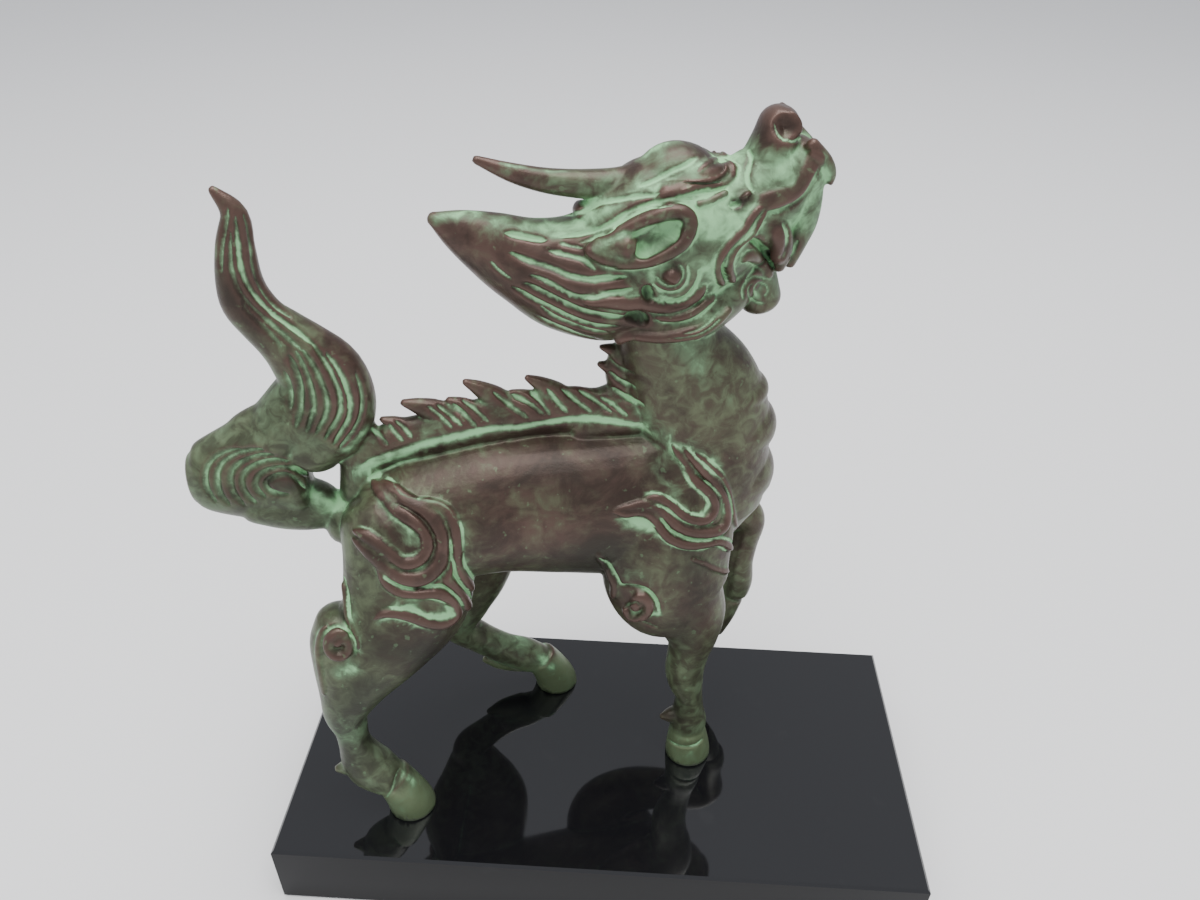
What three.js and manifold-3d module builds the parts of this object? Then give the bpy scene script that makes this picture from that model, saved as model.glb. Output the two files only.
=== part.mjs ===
import * as THREE from 'three';
import { ParametricGeometry } from 'three/addons/geometries/ParametricGeometry.js';
import { mergeVertices } from 'three/addons/utils/BufferGeometryUtils.js';
import Module from 'manifold-3d';

// Cast qilin figure on a polished slab, in millimetres, +Z up.
// The origin is the middle of the slab's underside and the animal's head points to +X.

// Driving dimensions
const plinthLength = 200;
const plinthDepth = 93.5;
const plinthHeight = 25;
const plinthArris = 0.8;
const figureHeight = 212;
const hoofClearance = 0.3;
const figureTurn = 12;
const figurePlace = [-1, 9];

// The figure is drawn on a grid of 212 squares to its height: x forward from the middle,
// y to its own left and z up from the soles.
const gridSquares = 212;
const square = figureHeight / gridSquares;

// Corners around a section
const bodySides = 16;
const legSides = 12;
const fineSides = 8;
const cordSides = 4;
const fluteSides = 18;

// Depth of the furrows between locks of hair, and how deep a band lies in the skin,
// as shares of a section's size
const fluteDepth = 0.13;
const bandSink = 0.4;

// How far the skin may move where slivers are drawn together
const skinTolerance = 0.1;

// A station is [x, y, z, half height, half width].
// The half height lies in the figure's upright middle plane and the half width across it.
const trunk = [
  [-74.3, 0, 101.8, 7.2, 8.5], [-68.5, 0, 100.6, 15.5, 16.2], [-57.5, 0, 100, 19.5, 20],
  [-44, 0, 101.5, 21, 19], [-30, 0, 103, 22, 19], [-13.5, 0, 102.2, 23.6, 19.5], [5, 0, 100.8, 25.2, 19],
  [21, 0, 102, 24.5, 17.5], [34, 0, 105, 16.5, 13], [40, 0, 107, 10, 8],
];
const neck = [
  [28.5, 0, 100.3, 17, 14], [26.4, 0, 113.6, 18.5, 14.5], [24.7, 0, 125.9, 18.8, 13.6],
  [20.4, 0, 137.1, 18, 12.7], [15.3, 0, 147.4, 14.7, 12], [11, 0, 157.6, 12, 12],
];
const skull = [
  [-6.3, 0, 171.9, 13, 9.5], [1.9, 0, 175, 18, 13], [11.1, 0, 178, 20.5, 14.5],
  [21.3, 0, 181.4, 16.6, 13.5], [30.5, 0, 186, 12.3, 11], [37.7, 0, 191.8, 10.5, 9],
  [42.8, 0, 194.4, 8, 7.5],
];
const jaw = [
  [0.9, 0, 164.7, 9, 11], [9, 0, 162.7, 10, 13], [17.5, 0, 162.2, 10, 13], [25.2, 0, 165.2, 8.4, 11],
  [31.6, 0, 170.6, 6.4, 8],
];
const brow = [
  [3.9, 0, 190.2, 4, 6], [10.8, 0, 193.9, 6.8, 7.5], [16.6, 0, 194.3, 5.9, 7.5], [22.5, 0, 190.6, 3.6, 7],
];
const horn = [
  [9, 0, 193.4, 5, 4.6], [0.9, 0, 192, 4, 3.8], [-7.3, 0, 192.2, 3.4, 3.4], [-16.5, 0, 193.3, 2.9, 2.8],
  [-24.7, 0, 195.5, 2.2, 2.1], [-32.6, 0, 198.7, 1, 1],
];
const hornLock = [[-2, 0, 183, 5, 6], [-6.5, 0, 185, 3.6, 5], [-9.5, 0, 186.2, 2.1, 3.6]];
const mane = [
  [9, 0, 169.9, 15, 13], [-3.2, 0, 169.9, 17, 13.5], [-13.5, 0, 170.9, 14.5, 11.5],
  [-22.7, 0, 174.4, 10.8, 8.5], [-30.8, 0, 178.9, 8, 6], [-38, 0, 182.9, 4.8, 3.8],
  [-43.1, 0, 185.7, 1.6, 1.5],
];
const nose = [[33.9, 0, 195.4, 5.8, 7.2], [35.5, 0, 200.3, 5.3, 6.9], [36.2, 0, 203.9, 4.9, 6.4]];
const chin = [
  [46.3, 0, 196, 2.2, 4], [44.2, 0, 189.3, 4.6, 6.5], [43.7, 0, 182.1, 4.8, 6.5],
  [43.1, 0, 176, 3.2, 5.6], [42.2, 0, 171, 2, 4.6],
];
const beardEgg = [[30, 0, 176, 5, 6.5], [33.8, 0, 169.8, 5.5, 6], [37, 0, 161.2, 5.4, 5.6]];

// The tail: its stem, which widens into a fan above the rump, the round lobe behind that,
// the bend from fan to lobe, the bar that carries the lobe from the rump, and the web between
// fan and comb
const tailStem = [
  [-89, 0, 194.2, 1, 1], [-85.6, 0, 188.6, 3, 2.6], [-86.8, 0, 181.2, 4.3, 3.6],
  [-87.6, 0, 173.5, 5.2, 4.4], [-87, 0, 167.6, 6, 4.9], [-84.4, 0, 162.7, 6.1, 5.3],
  [-80.8, 0, 158.2, 7, 5.8], [-77.4, 0, 153.6, 8.6, 6.6], [-73.9, 0, 147.4, 10.9, 7.4],
  [-73.2, 0, 140.5, 12.2, 8], [-75, 0, 134, 12.6, 8.2], [-77.5, 0, 129.5, 11.5, 8],
  [-79.5, 0, 125.5, 8.6, 7.6],
];
const tailLobe = [
  [-109.8, 0, 118.3, 7.5, 4.8], [-107.5, 0, 118.3, 10.3, 6], [-102, 0, 118.6, 13, 7.2],
  [-95.5, 0, 119.2, 15.7, 7.8], [-89, 0, 120.6, 18, 8.2], [-85, 0, 121.2, 19.6, 8.2],
];
const tailBend = [
  [-73, 0, 143, 10, 8], [-79, 0, 138, 9.5, 8.2], [-85, 0, 133, 8.3, 8.2], [-91, 0, 127, 8, 8],
];
const tailRoot = [
  [-95, 0, 110.6, 7.5, 7.2], [-88, 0, 108.2, 8.1, 7], [-81, 0, 106.1, 7.4, 6.3],
  [-75.5, 0, 104, 5.4, 5.2], [-68, 0, 104, 5.6, 5],
];
const tailWeb = [
  [-68, 0, 108, 6.5, 5], [-67, 0, 118.7, 6, 4.2], [-66.6, 0, 126.9, 5.5, 3.5], [-69.5, 0, 135.1, 5, 4],
];

// Legs, each from the trunk to the sole. The far foreleg is raised.
const hindNear = [
  [-57.4, -9, 104.4, 17, 11], [-57.4, -12.5, 93.2, 17.5, 10.5], [-59.4, -15.5, 81.4, 17.5, 9.5],
  [-67.2, -18, 69.6, 14.8, 8.5], [-76, -20, 56.4, 10, 7.3], [-80, -21, 46.5, 6.8, 6],
  [-79.7, -21.5, 38.5, 4.9, 4.9], [-79.4, -21.8, 32, 4.8, 4.9], [-78.3, -22, 26, 6.3, 5.6],
  [-75.8, -22.3, 20, 7.4, 6.2], [-72, -22.6, 14.8, 6.4, 5.7],
];
const hockNear = [
  [-76.8, -17, 77.6, 7.6, 7.4], [-78.4, -17.8, 71.5, 8.2, 7.8], [-79.6, -18.8, 64, 7.2, 7.4],
  [-80, -19.5, 55, 6.7, 6.5], [-80.3, -20.8, 46.5, 6.4, 6],
];
const hindNearHoof = [
  [-70.5, -22.8, 15.2, 5.7, 5.8], [-67.6, -22.8, 7.8, 6.4, 6.3], [-65.6, -22.8, 0.9, 7.2, 6.9],
  [-65.2, -22.8, -3, 7.2, 6.9],
];
const hindFar = [
  [-55.4, 9, 104.4, 17, 11], [-49.5, 13, 92.1, 18, 10.5], [-44, 17, 79.9, 16.5, 9.5],
  [-41, 19.5, 66.6, 14.5, 8.5], [-42.2, 20.5, 55.3, 12.6, 7.8], [-45.2, 21, 43.6, 9.6, 6.8],
  [-47, 21.2, 33, 6.6, 5.8], [-40.5, 21.2, 25.6, 5.6, 5.1], [-32.5, 21, 19.1, 5.6, 5.1],
  [-25.5, 20.8, 15, 6.2, 5.8], [-20.5, 20.6, 12.4, 5.4, 5.3],
];
const hockFar = [
  [-60, 10, 82, 5, 7], [-60.5, 14.5, 71, 7.5, 7.8], [-57.5, 17.5, 60, 7.2, 7.4],
  [-53, 19.5, 50, 6.8, 6.5], [-49.5, 21, 40.5, 6.2, 6],
];
const hindFarHoof = [
  [-19.7, 20.5, 13, 5.7, 5.8], [-16.3, 20.5, 7, 6.4, 6.3], [-14.1, 20.5, 0.9, 7.2, 6.9],
  [-13.7, 20.5, -3, 7.2, 6.9],
];
const foreNear = [
  [19.3, -8, 108.5, 15, 9.5], [16.2, -11.5, 96, 18, 10], [14.4, -13.5, 84, 18.6, 9.7],
  [17.2, -14.5, 73, 16.9, 9], [22.4, -14.8, 64.5, 11.6, 8], [24, -14.9, 56, 8.2, 7],
  [23.6, -14.8, 49.5, 6.6, 6.2], [22.9, -14.7, 41, 6.2, 5.9], [23.6, -14.7, 34.5, 5.6, 5.4],
  [25.2, -14.7, 27.5, 4.4, 4.7], [25.5, -14.8, 21.5, 4.9, 5], [25.7, -15, 15.5, 6.1, 5.8],
  [25.8, -15.3, 11, 5.5, 5.4],
];
const foreNearHoof = [
  [25.7, -15.4, 12, 5.8, 5.8], [26.1, -15.5, 6.6, 6.8, 6.6], [26.5, -15.6, 0.9, 7.5, 7.1],
  [26.6, -15.6, -3, 7.5, 7.1],
];
const foreFar = [
  [16, 8, 108, 15, 9.5], [11, 12, 95, 17, 10], [5, 14.5, 82, 16.5, 9.5], [5, 15.5, 72, 12, 9],
  [14, 16, 67, 9.5, 8.5], [25, 16.4, 68.5, 8.6, 8], [35, 16.8, 72.5, 7.6, 7.2],
  [43.7, 17, 76.6, 6.4, 6.6], [48.6, 16.8, 73, 5.9, 6.2], [47.8, 16, 64.4, 5.2, 5.6],
  [46.8, 14.8, 56.6, 5.1, 5.3], [46.8, 14, 49.5, 5.5, 5.6], [46.3, 13.6, 45, 5.2, 5.4],
];
const foreFarHoof = [[44.9, 13.4, 42.5, 4.9, 5.2], [42.3, 13, 35.5, 5.1, 5.5], [39.2, 12.8, 29.5, 5.3, 5.7]];

// Tufts behind the fetlocks
const fetlockTufts = [
  [[-78, -22, 22.5, 4, 3.6], [-83, -22, 21, 3, 2.6], [-85.8, -22, 20.6, 1.4, 1.3]],
  [[-27, 21, 12.4, 5, 4.4], [-33.5, 21, 12.4, 3.4, 3], [-39, 21, 14, 1.4, 1.3]],
  [[22.5, -15, 18.6, 3.2, 3], [19.2, -15, 18.2, 2.6, 2.4], [17, -15, 18, 1.2, 1.2]],
  [[42.5, 13.6, 48.5, 3, 3], [39, 13.4, 45, 2.5, 2.4], [37.8, 13.2, 41, 0.9, 0.9]],
];

// Spikes along the spine, leaning back: [x, z of the tip, x, z of the root, half thickness]
const spikes = [
  [-60.6, 132.3, -50, 125.5, 2.4], [-54.6, 136.9, -41, 129.5, 3.2], [-43.2, 136.9, -33, 129.5, 2.4],
  [-38.6, 141.9, -26, 130.5, 3], [-26.9, 137.8, -15.5, 130, 2.8], [-22.7, 141.9, -10, 130.5, 3],
  [-12.6, 137.6, -2, 130, 2.8], [-7.5, 136.6, 3, 130, 2.6], [-1.4, 139.4, 9, 133, 2.8],
  [-3.9, 144.6, 7, 137, 2.8], [-3.6, 149.6, 6, 144.5, 2.2],
];
const spikeWidth = 3.2;
const spikeBow = 0.04;
const ridge = [
  [-66, 0, 119, 5, 3.6], [-58.5, 0, 124.4, 6.4, 3.9], [-49, 0, 126.1, 6.8, 4.1], [-35, 0, 129.2, 7, 4.3],
  [-19.6, 0, 131, 7, 4.3], [-5, 0, 130.4, 6.6, 4.2], [2.8, 0, 135.5, 5, 4], [2.6, 0, 142, 5, 3.8],
  [2.4, 0, 147, 4.2, 3.6],
];

// Plates down the front of the neck: [x of the front, z of the middle, reach to each side,
// full height]
const plates = [[42.4, 135, 11, 13], [46.1, 123, 12, 22], [47.4, 107.5, 12.5, 26]];

// Depth of a plate from front to back, as a share of its reach
const plateDepth = 1.17;

// Raised bands, drawn from the side as [x, z, radius] and laid on the skin of both flanks
const haunchBands = [
  [[-62, 116, 1.2], [-56, 112.5, 1.9], [-52, 109.5, 2], [-51.5, 105.5, 2], [-53.5, 102, 2],
    [-57.5, 101, 2], [-61, 103.5, 1.9], [-66, 107.5, 1.5], [-71, 109, 0.9]],
  [[-59, 117, 1.3], [-51.5, 113.3, 2], [-47.8, 108, 2.2], [-48.3, 102.5, 2.2], [-51.5, 98, 2.2],
    [-57, 96, 2.2], [-62, 98.5, 2], [-66.5, 103, 1.6], [-70, 106.5, 1]],
  [[-55, 117, 1.1], [-48.5, 114.3, 1.7], [-44.6, 109.5, 1.9], [-44.2, 103, 1.8], [-44.8, 97, 1.6],
    [-43.3, 90.5, 1.2], [-41.5, 85, 0.8]],
  [[-69, 83.5, 0.9], [-64, 86.5, 1.5], [-58.5, 85.5, 1.7], [-53, 80.5, 1.7], [-48.8, 77, 1.7],
    [-46, 80.5, 1.7], [-46.5, 86, 1.7], [-50.5, 90.5, 1.7], [-56.5, 92, 1.6], [-62.5, 95, 1.4],
    [-67, 100.5, 1.1]],
];
const shoulderBands = [
  [[14.5, 123, 1.1], [19, 115.5, 1.6], [23.2, 111, 1.7], [24.5, 106.5, 1.7], [21.5, 104.2, 1.7],
    [16.5, 106, 1.6], [11, 110, 1.5], [6, 112, 1.2], [1, 110.8, 0.8]],
  [[18, 124.5, 1.1], [23, 117, 1.7], [27, 110, 1.8], [27.8, 103.5, 1.9], [24.5, 99.8, 1.9],
    [18.5, 100.5, 1.8], [13, 104, 1.6], [8.5, 107.3, 1.3], [-2, 108.3, 0.7]],
  [[22.5, 123, 0.9], [27.5, 115.5, 1.4], [30.3, 108, 1.5], [31.3, 100.5, 1.4], [32.3, 94, 1.1],
    [33, 88, 0.8]],
  [[5, 106.3, 0.7], [9.5, 102.5, 1.2], [12.5, 98.3, 1.4], [17.5, 95, 1.5], [24, 94, 1.5], [28.8, 93, 1.4],
    [31.8, 89, 1.2], [33, 84.5, 0.8]],
];
const legBands = [
  [[-75, 99, 0.7], [-74.6, 94, 1.1], [-74.2, 88, 1.3], [-74, 82, 1.3], [-73.5, 76, 1.1],
    [-73.5, 70, 0.7]],
  [[-7, 95, 0.7], [-4, 89, 1.2], [-1, 83.5, 1.5], [3.5, 81.5, 1.6], [8.5, 79, 1.6], [11.5, 74, 1.5],
    [12.5, 68, 1.1], [12.5, 62, 0.7]],
];
const locks = [
  [[-10.2, 180.6, 1.2], [-17.7, 181.2, 1.4], [-23, 182.3, 1.1], [-28, 184, 0.7]],
  [[-8, 175.8, 1.3], [-11.5, 177.2, 1.6], [-16.6, 178.4, 1.6], [-21.6, 180.1, 1.3], [-27, 182, 0.8]],
  [[-0.1, 173, 1.4], [-6.5, 172.8, 1.6], [-11.6, 173.8, 1.5], [-16.7, 175.6, 1.2], [-22, 176.8, 0.8]],
  [[18.3, 177, 0.8], [18, 173, 1.3], [15, 168, 1.5], [10, 165.5, 1.6], [4.5, 166.5, 1.6],
    [-2.7, 168.8, 1.6], [-8.2, 169.3, 1.6], [-13.4, 171, 1.4], [-18.2, 172.7, 1.1], [-22, 173.8, 0.8]],
  [[-0.8, 163.6, 0.9], [-6.3, 164.7, 1.3], [-11.6, 166.6, 1.5], [-16.9, 169.6, 1.3], [-22, 171.5, 0.8]],
  [[-4.3, 161, 0.8], [-9.6, 162, 1.3], [-14, 164.8, 1.4], [-18.6, 168.2, 1.2], [-23.7, 170.7, 0.8]],
  [[-6.1, 156.5, 0.8], [-12.9, 159.5, 1.3], [-18.5, 163.5, 1.3], [-23.1, 167.1, 1.1],
    [-27.5, 169.5, 0.7]],
];
const jawTufts = [
  [[0.5, 156.5, 0.6], [3, 159, 1.2], [7, 160.3, 1.6], [13, 160, 1.7], [17.5, 161.5, 1.5],
    [21, 164.5, 1.2], [24, 167.3, 0.8]],
  [[3, 155.6, 0.6], [7.5, 156.8, 1.2], [12.5, 157, 1.4], [17.5, 157.5, 1.3], [21.7, 159.8, 1.1],
    [24.5, 162.6, 0.7]],
];
const earBands = [
  [[0.9, 181.5, 1.9], [4, 185.2, 1.9], [7.5, 187.7, 1.9], [11.2, 188.3, 1.9], [13.2, 186.9, 1.9],
    [12.6, 184, 1.9], [10.4, 180.8, 1.9], [6.9, 178.6, 1.9], [2.9, 177.6, 1.9], [-1, 178, 1.9],
    [-3, 180.2, 1.9], [0.9, 181.5, 1.9]],
  [[2, 180.5, 1.6], [-3, 179.8, 2.7], [-8, 179.2, 1.8]],
];
const faceBands = [
  [[7.4, 192.3, 0.8], [12.5, 194.6, 1.5], [17.8, 196.8, 1.9], [22.5, 197.6, 2], [25, 196.2, 1.6]],
  [[8, 191.8, 0.7], [13, 192.8, 1.2], [18, 194, 1.4], [22.5, 194.4, 1.4], [24.8, 195.3, 1.2]],
  [[15.2, 188.8, 0.9], [19.4, 190, 1.6], [23.5, 191.2, 1.9], [27.5, 192.2, 1.8]],
  [[34.4, 189.9, 1.5], [31.8, 189, 1.5], [29.6, 186.2, 1.5], [27.5, 183, 1.5], [25, 180.4, 1.5],
    [22, 178.3, 1.5], [21, 175.5, 1.4], [22, 172, 1.1], [23.7, 169.6, 0.8]],
  [[30.5, 184.3, 1], [28.5, 182, 1.2], [26.4, 179.5, 1.2], [25, 176.5, 1.2], [25.2, 173.5, 1],
    [26.1, 171.4, 0.7]],
];

// Coils laid on the skin of both flanks: [x, z of the middle, half width, half height, radius of the coil]
const coils = [
  [-78.5, 73.5, 3.4, 5.2, 1.8], [5, 73.5, 3.6, 4.2, 1.7], [10, 175.2, 4.4, 4.4, 1.1],
  [-93, 115.5, 10.5, 9, 1.6],
];
const coilTurns = 1.2;
const coilPoints = 9;
const coilShrink = 0.6;
const cheekBoss = [[10, 175, 2.4], [10.6, 175.6, 2.4]];

// Parts of the muzzle, drawn on the near side and mirrored: [x, y, z, half height, half width]
const muzzleRim = [
  [40.4, -6.3, 202, 1.6, 1.6], [43.9, -6, 198.6, 1.9, 1.9], [41.5, -7.8, 194, 1.9, 1.9],
  [37.9, -9.2, 190.8, 1.7, 1.7], [33.7, -10, 189.7, 1.4, 1.4],
];
const whisker = [
  [42.6, -5.5, 201.4, 1.6, 1.6], [46.2, -5.4, 197.6, 1.8, 1.8], [48.2, -5.2, 194.6, 1.4, 1.4],
  [48.7, -5, 192.2, 0.8, 0.8],
];
const tusk = [
  [32, -8.5, 186.5, 1.6, 1.6], [36.4, -7.9, 182, 3.1, 2.6], [38.7, -6, 176, 2.7, 2.4],
  [39, -5, 171.8, 1.6, 1.6],
];
const nostril = { centre: [36.8, -7.9, 204.9], radii: [2.5, 2.6, 2.3] };
const beardSpiral = { centre: [37.6, 161.8], radius: 3.4, depth: 4.5, turns: 1.2, thickness: 1.1 };
const spiralPoints = 10;
const spiralShrink = 0.75;

function grid(x, y, z) {
  return new THREE.Vector3(x, y, z).multiplyScalar(square);
}

// A closed loft through stations, with an oval section and rounded ends.
// between is the sections to a gap of stations, and flute the depth of its furrows.
function loft(stations, sides, { between = 1, capLength = 0.7, capRings = 2, flute = 0 } = {}) {
  const through = (points) => new THREE.CatmullRomCurve3(points, false, 'catmullrom');
  const centres = through(stations.map(([x, y, z]) => grid(x, y, z)));
  const sizes = through(stations.map((station) => grid(station[3], station[4], 0)));
  const spans = (stations.length - 1) * between;
  const rings = [];
  const addRing = (t, push, share) => {
    const tangent = centres.getTangent(t);
    const across = new THREE.Vector3(0, 1, 0).addScaledVector(tangent, -tangent.y).normalize();
    const upright = new THREE.Vector3().crossVectors(across, tangent);
    const size = sizes.getPoint(t);
    const centre = centres.getPoint(t).addScaledVector(tangent, push * capLength * size.x);
    across.multiplyScalar(size.y * share);
    upright.multiplyScalar(size.x * share);
    rings.push({ centre, across, upright });
  };
  for (let i = 0; i < capRings; i += 1) {
    const angle = (i / capRings) * Math.PI / 2;
    addRing(0, -Math.cos(angle), Math.sin(angle));
  }
  for (let i = 0; i <= spans; i += 1) addRing(i / spans, 0, 1);
  for (let i = capRings - 1; i >= 0; i -= 1) {
    const angle = (i / capRings) * Math.PI / 2;
    addRing(1, Math.cos(angle), Math.sin(angle));
  }
  const place = (around, along, out) => {
    const ring = rings[Math.round(along * (rings.length - 1))];
    const corner = Math.round(around * sides) % sides;
    const reach = 1 - flute * (corner % 2);
    const angle = corner / sides * Math.PI * 2;
    out.copy(ring.centre);
    out.addScaledVector(ring.across, Math.sin(angle) * reach);
    out.addScaledVector(ring.upright, Math.cos(angle) * reach);
  };
  return new ParametricGeometry(place, sides, rings.length - 1);
}

function cord(stations, sides = cordSides) {
  return loft(stations, sides, { capRings: 1 });
}

function mirrored(stations) {
  return stations.map(([x, y, z, h, w]) => [x, -y, z, h, w]);
}

function bothSides(stations, sides = cordSides) {
  return [cord(stations, sides), cord(mirrored(stations), sides)];
}

// A spike whose hollow side faces back
function spike([tipX, tipZ, rootX, rootZ, half]) {
  const [runX, runZ] = [tipX - rootX, tipZ - rootZ];
  const bow = Math.hypot(runX, runZ) * spikeBow;
  const station = (share, height, width) => [
    rootX + runX * share + bow * Math.sin(Math.PI * share),
    0,
    rootZ + runZ * share + bow * Math.sin(Math.PI * share),
    half * height,
    spikeWidth * width,
  ];
  return cord([
    station(0, 1, 1), station(0.4, 1.15, 0.95), station(0.75, 0.75, 0.65), station(1, 0.3, 0.35),
  ], 5);
}

// A plate across the front of the neck, which sinks into it at both ends
function plate([x, z, reach, height]) {
  const depth = reach * plateDepth;
  return ellipsoid({ centre: [x - depth, 0, z], radii: [depth, reach, height / 2] });
}

// A spiral standing on a side of the figure, as stations
function spiral({ centre: [x, z], radius, depth, turns, thickness }) {
  return Array.from({ length: spiralPoints }, (_, i) => {
    const share = i / (spiralPoints - 1);
    const angle = share * turns * Math.PI * 2;
    const reach = radius * (1 - spiralShrink * share);
    const size = thickness * (1 - 0.3 * share);
    return [x + reach * Math.cos(angle), -depth, z - reach * Math.sin(angle), size, size];
  });
}

// Closed solids from geometries, and back
const wasm = await Module();
wasm.setup();

function solid(geometry) {
  const bare = geometry.index ? geometry.clone() : geometry;
  bare.deleteAttribute('normal');
  bare.deleteAttribute('uv');
  const merged = mergeVertices(bare, 1e-4);
  const points = merged.attributes.position;
  const index = merged.index.array;
  const faces = [];
  const a = new THREE.Vector3();
  const b = new THREE.Vector3();
  const c = new THREE.Vector3();
  let volume = 0;
  for (let i = 0; i < index.length; i += 3) {
    const [p, q, r] = [index[i], index[i + 1], index[i + 2]];
    if (p === q || q === r || r === p) continue;
    faces.push([p, q, r]);
    a.fromBufferAttribute(points, p);
    b.fromBufferAttribute(points, q);
    c.fromBufferAttribute(points, r);
    volume += a.dot(b.cross(c));
  }
  const triVerts = new Uint32Array(faces.flatMap(([p, q, r]) => (volume > 0 ? [p, q, r] : [p, r, q])));
  const mesh = new wasm.Mesh({ numProp: 3, vertProperties: new Float32Array(points.array), triVerts });
  return new wasm.Manifold(mesh);
}

function geometryOf(manifold) {
  const { vertProperties, triVerts } = manifold.getMesh();
  const geometry = new THREE.BufferGeometry();
  geometry.setAttribute('position', new THREE.BufferAttribute(vertProperties, 3));
  geometry.setIndex(new THREE.BufferAttribute(triVerts, 1));
  return geometry;
}

// Draws the ends of edges together where the skin moves less than a tolerance, shortest first.
// Each edge drawn together has just two neighbours in common, so the surface stays closed.
function thinned(geometry, tolerance) {
  const place = geometry.attributes.position;
  const pointAt = (_, i) => new THREE.Vector3().fromBufferAttribute(place, i);
  const points = Array.from({ length: place.count }, pointAt);
  const index = geometry.index.array;
  const faces = Array.from({ length: index.length / 3 }, (_, i) => [...index.slice(3 * i, 3 * i + 3)]);
  const facesAt = points.map(() => new Set());
  faces.forEach((face, i) => face.forEach((v) => facesAt[v].add(i)));
  const neighbours = (v) => new Set([...facesAt[v]].flatMap((f) => faces[f]).filter((w) => w !== v));
  const planeOf = (face) => new THREE.Plane().setFromCoplanarPoints(...face.map((v) => points[v]));
  const areaOf = (face) => new THREE.Triangle(...face.map((v) => points[v])).getArea();
  const mayDraw = (v, into) => {
    const near = neighbours(into);
    if ([...neighbours(v)].filter((w) => near.has(w)).length !== 2) return false;
    return [...facesAt[v]].every((f) => {
      if (faces[f].includes(into)) return true;
      const moved = faces[f].map((w) => (w === v ? into : w));
      if (areaOf(moved) < tolerance * tolerance) return false;
      const plane = planeOf(moved);
      const sliver = areaOf(faces[f]) < tolerance * tolerance;
      const turned = plane.normal.dot(planeOf(faces[f]).normal) < 0.3;
      return Math.abs(plane.distanceToPoint(points[v])) < tolerance && (sliver || !turned);
    });
  };
  const draw = (v, into) => {
    [...facesAt[v]].forEach((f) => {
      if (faces[f].includes(into)) {
        faces[f].forEach((w) => facesAt[w].delete(f));
        faces[f] = null;
      } else {
        faces[f] = faces[f].map((w) => (w === v ? into : w));
        facesAt[into].add(f);
      }
    });
    facesAt[v].clear();
  };
  let drawn = true;
  while (drawn) {
    drawn = false;
    const edges = faces.filter((face) => face).flatMap(([a, b, c]) => [[a, b], [b, c], [c, a]]);
    const lengths = new Map(edges.map((edge) => [edge, points[edge[0]].distanceTo(points[edge[1]])]));
    edges.sort((p, q) => lengths.get(p) - lengths.get(q));
    edges.forEach(([v, into]) => {
      if (!neighbours(v).has(into) || !mayDraw(v, into)) return;
      draw(v, into);
      drawn = true;
    });
  }
  const kept = new THREE.BufferGeometry();
  kept.setAttribute('position', place.clone());
  kept.setIndex(faces.filter((face) => face).flat());
  return kept;
}

function join(solids) {
  return solids.reduce((whole, next) => whole.add(next));
}

function hoof(stations) {
  return loft(stations, legSides, { capLength: 0.2, capRings: 1 });
}

const masses = [
  loft(trunk, bodySides), loft(neck, bodySides), loft(skull, bodySides), loft(jaw, bodySides),
  loft(brow, legSides), loft(horn, fineSides), loft(hornLock, fineSides), loft(mane, legSides),
  loft(nose, legSides, { capLength: 1 }), loft(chin, fineSides, { capLength: 0.3 }),
  loft(beardEgg, legSides),
  loft(tailStem, fluteSides, { between: 2, flute: fluteDepth }),
  loft(tailLobe, bodySides, { capLength: 0.2 }), loft(tailBend, legSides),
  loft(tailRoot, fineSides), loft(tailWeb, fineSides),
  loft(ridge, fineSides),
  loft(hindNear, legSides), loft(hindFar, legSides), loft(foreNear, legSides), loft(foreFar, legSides),
  loft(hockNear, fineSides), loft(hockFar, fineSides),
  ...[hindNearHoof, hindFarHoof, foreNearHoof, foreFarHoof].map(hoof),
];
const body = join(masses.map(solid));

// Bands and coils, each point set on the skin where a level line from the side first meets it
const skin = new THREE.Mesh(geometryOf(body));
const probe = new THREE.Raycaster();

function onSkin(band, side) {
  const far = figureHeight;
  const stations = band.map(([x, z, radius]) => {
    probe.set(grid(x, side * far, z), new THREE.Vector3(0, -side, 0));
    const [hit] = probe.intersectObject(skin);
    if (!hit) return null;
    const centre = hit.point.clone().addScaledVector(hit.face.normal, -bandSink * radius * square);
    return [...centre.divideScalar(square).toArray(), radius, radius];
  });
  return cord(stations.filter((station) => station));
}

function coil([x, z, halfWidth, halfHeight, radius]) {
  return Array.from({ length: coilPoints }, (_, i) => {
    const share = i / (coilPoints - 1);
    const angle = share * coilTurns * Math.PI * 2;
    const reach = 1 - coilShrink * share;
    return [x - halfWidth * reach * Math.cos(angle), z + halfHeight * reach * Math.sin(angle), radius];
  });
}

function ellipsoid({ centre: [x, y, z], radii }) {
  return new THREE.SphereGeometry(square, 8, 6).scale(...radii).translate(...grid(x, y, z).toArray());
}

const bands = [
  ...haunchBands, ...shoulderBands, ...legBands, ...locks, ...jawTufts, ...earBands, ...faceBands,
  ...coils.map(coil), cheekBoss,
];
const carving = [
  ...bands.flatMap((band) => [onSkin(band, -1), onSkin(band, 1)]),
  ...[muzzleRim, whisker, tusk].flatMap((piece) => bothSides(piece, fineSides - 2)),
  ...bothSides(spiral(beardSpiral)),
  ...fetlockTufts.map((tuft) => cord(tuft)),
  ...spikes.map(spike),
  ...plates.map(plate),
];
const [nostrilX, nostrilY, nostrilZ] = nostril.centre;
const farNostril = { ...nostril, centre: [nostrilX, -nostrilY, nostrilZ] };
const groundSize = plinthLength * 2;
const ground = new THREE.BoxGeometry(groundSize, groundSize, groundSize).translate(0, 0, -groundSize / 2);
const casting = join([body, ...carving.map(solid)])
  .subtract(solid(ellipsoid(nostril)))
  .subtract(solid(ellipsoid(farNostril)))
  .subtract(solid(ground));

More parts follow.
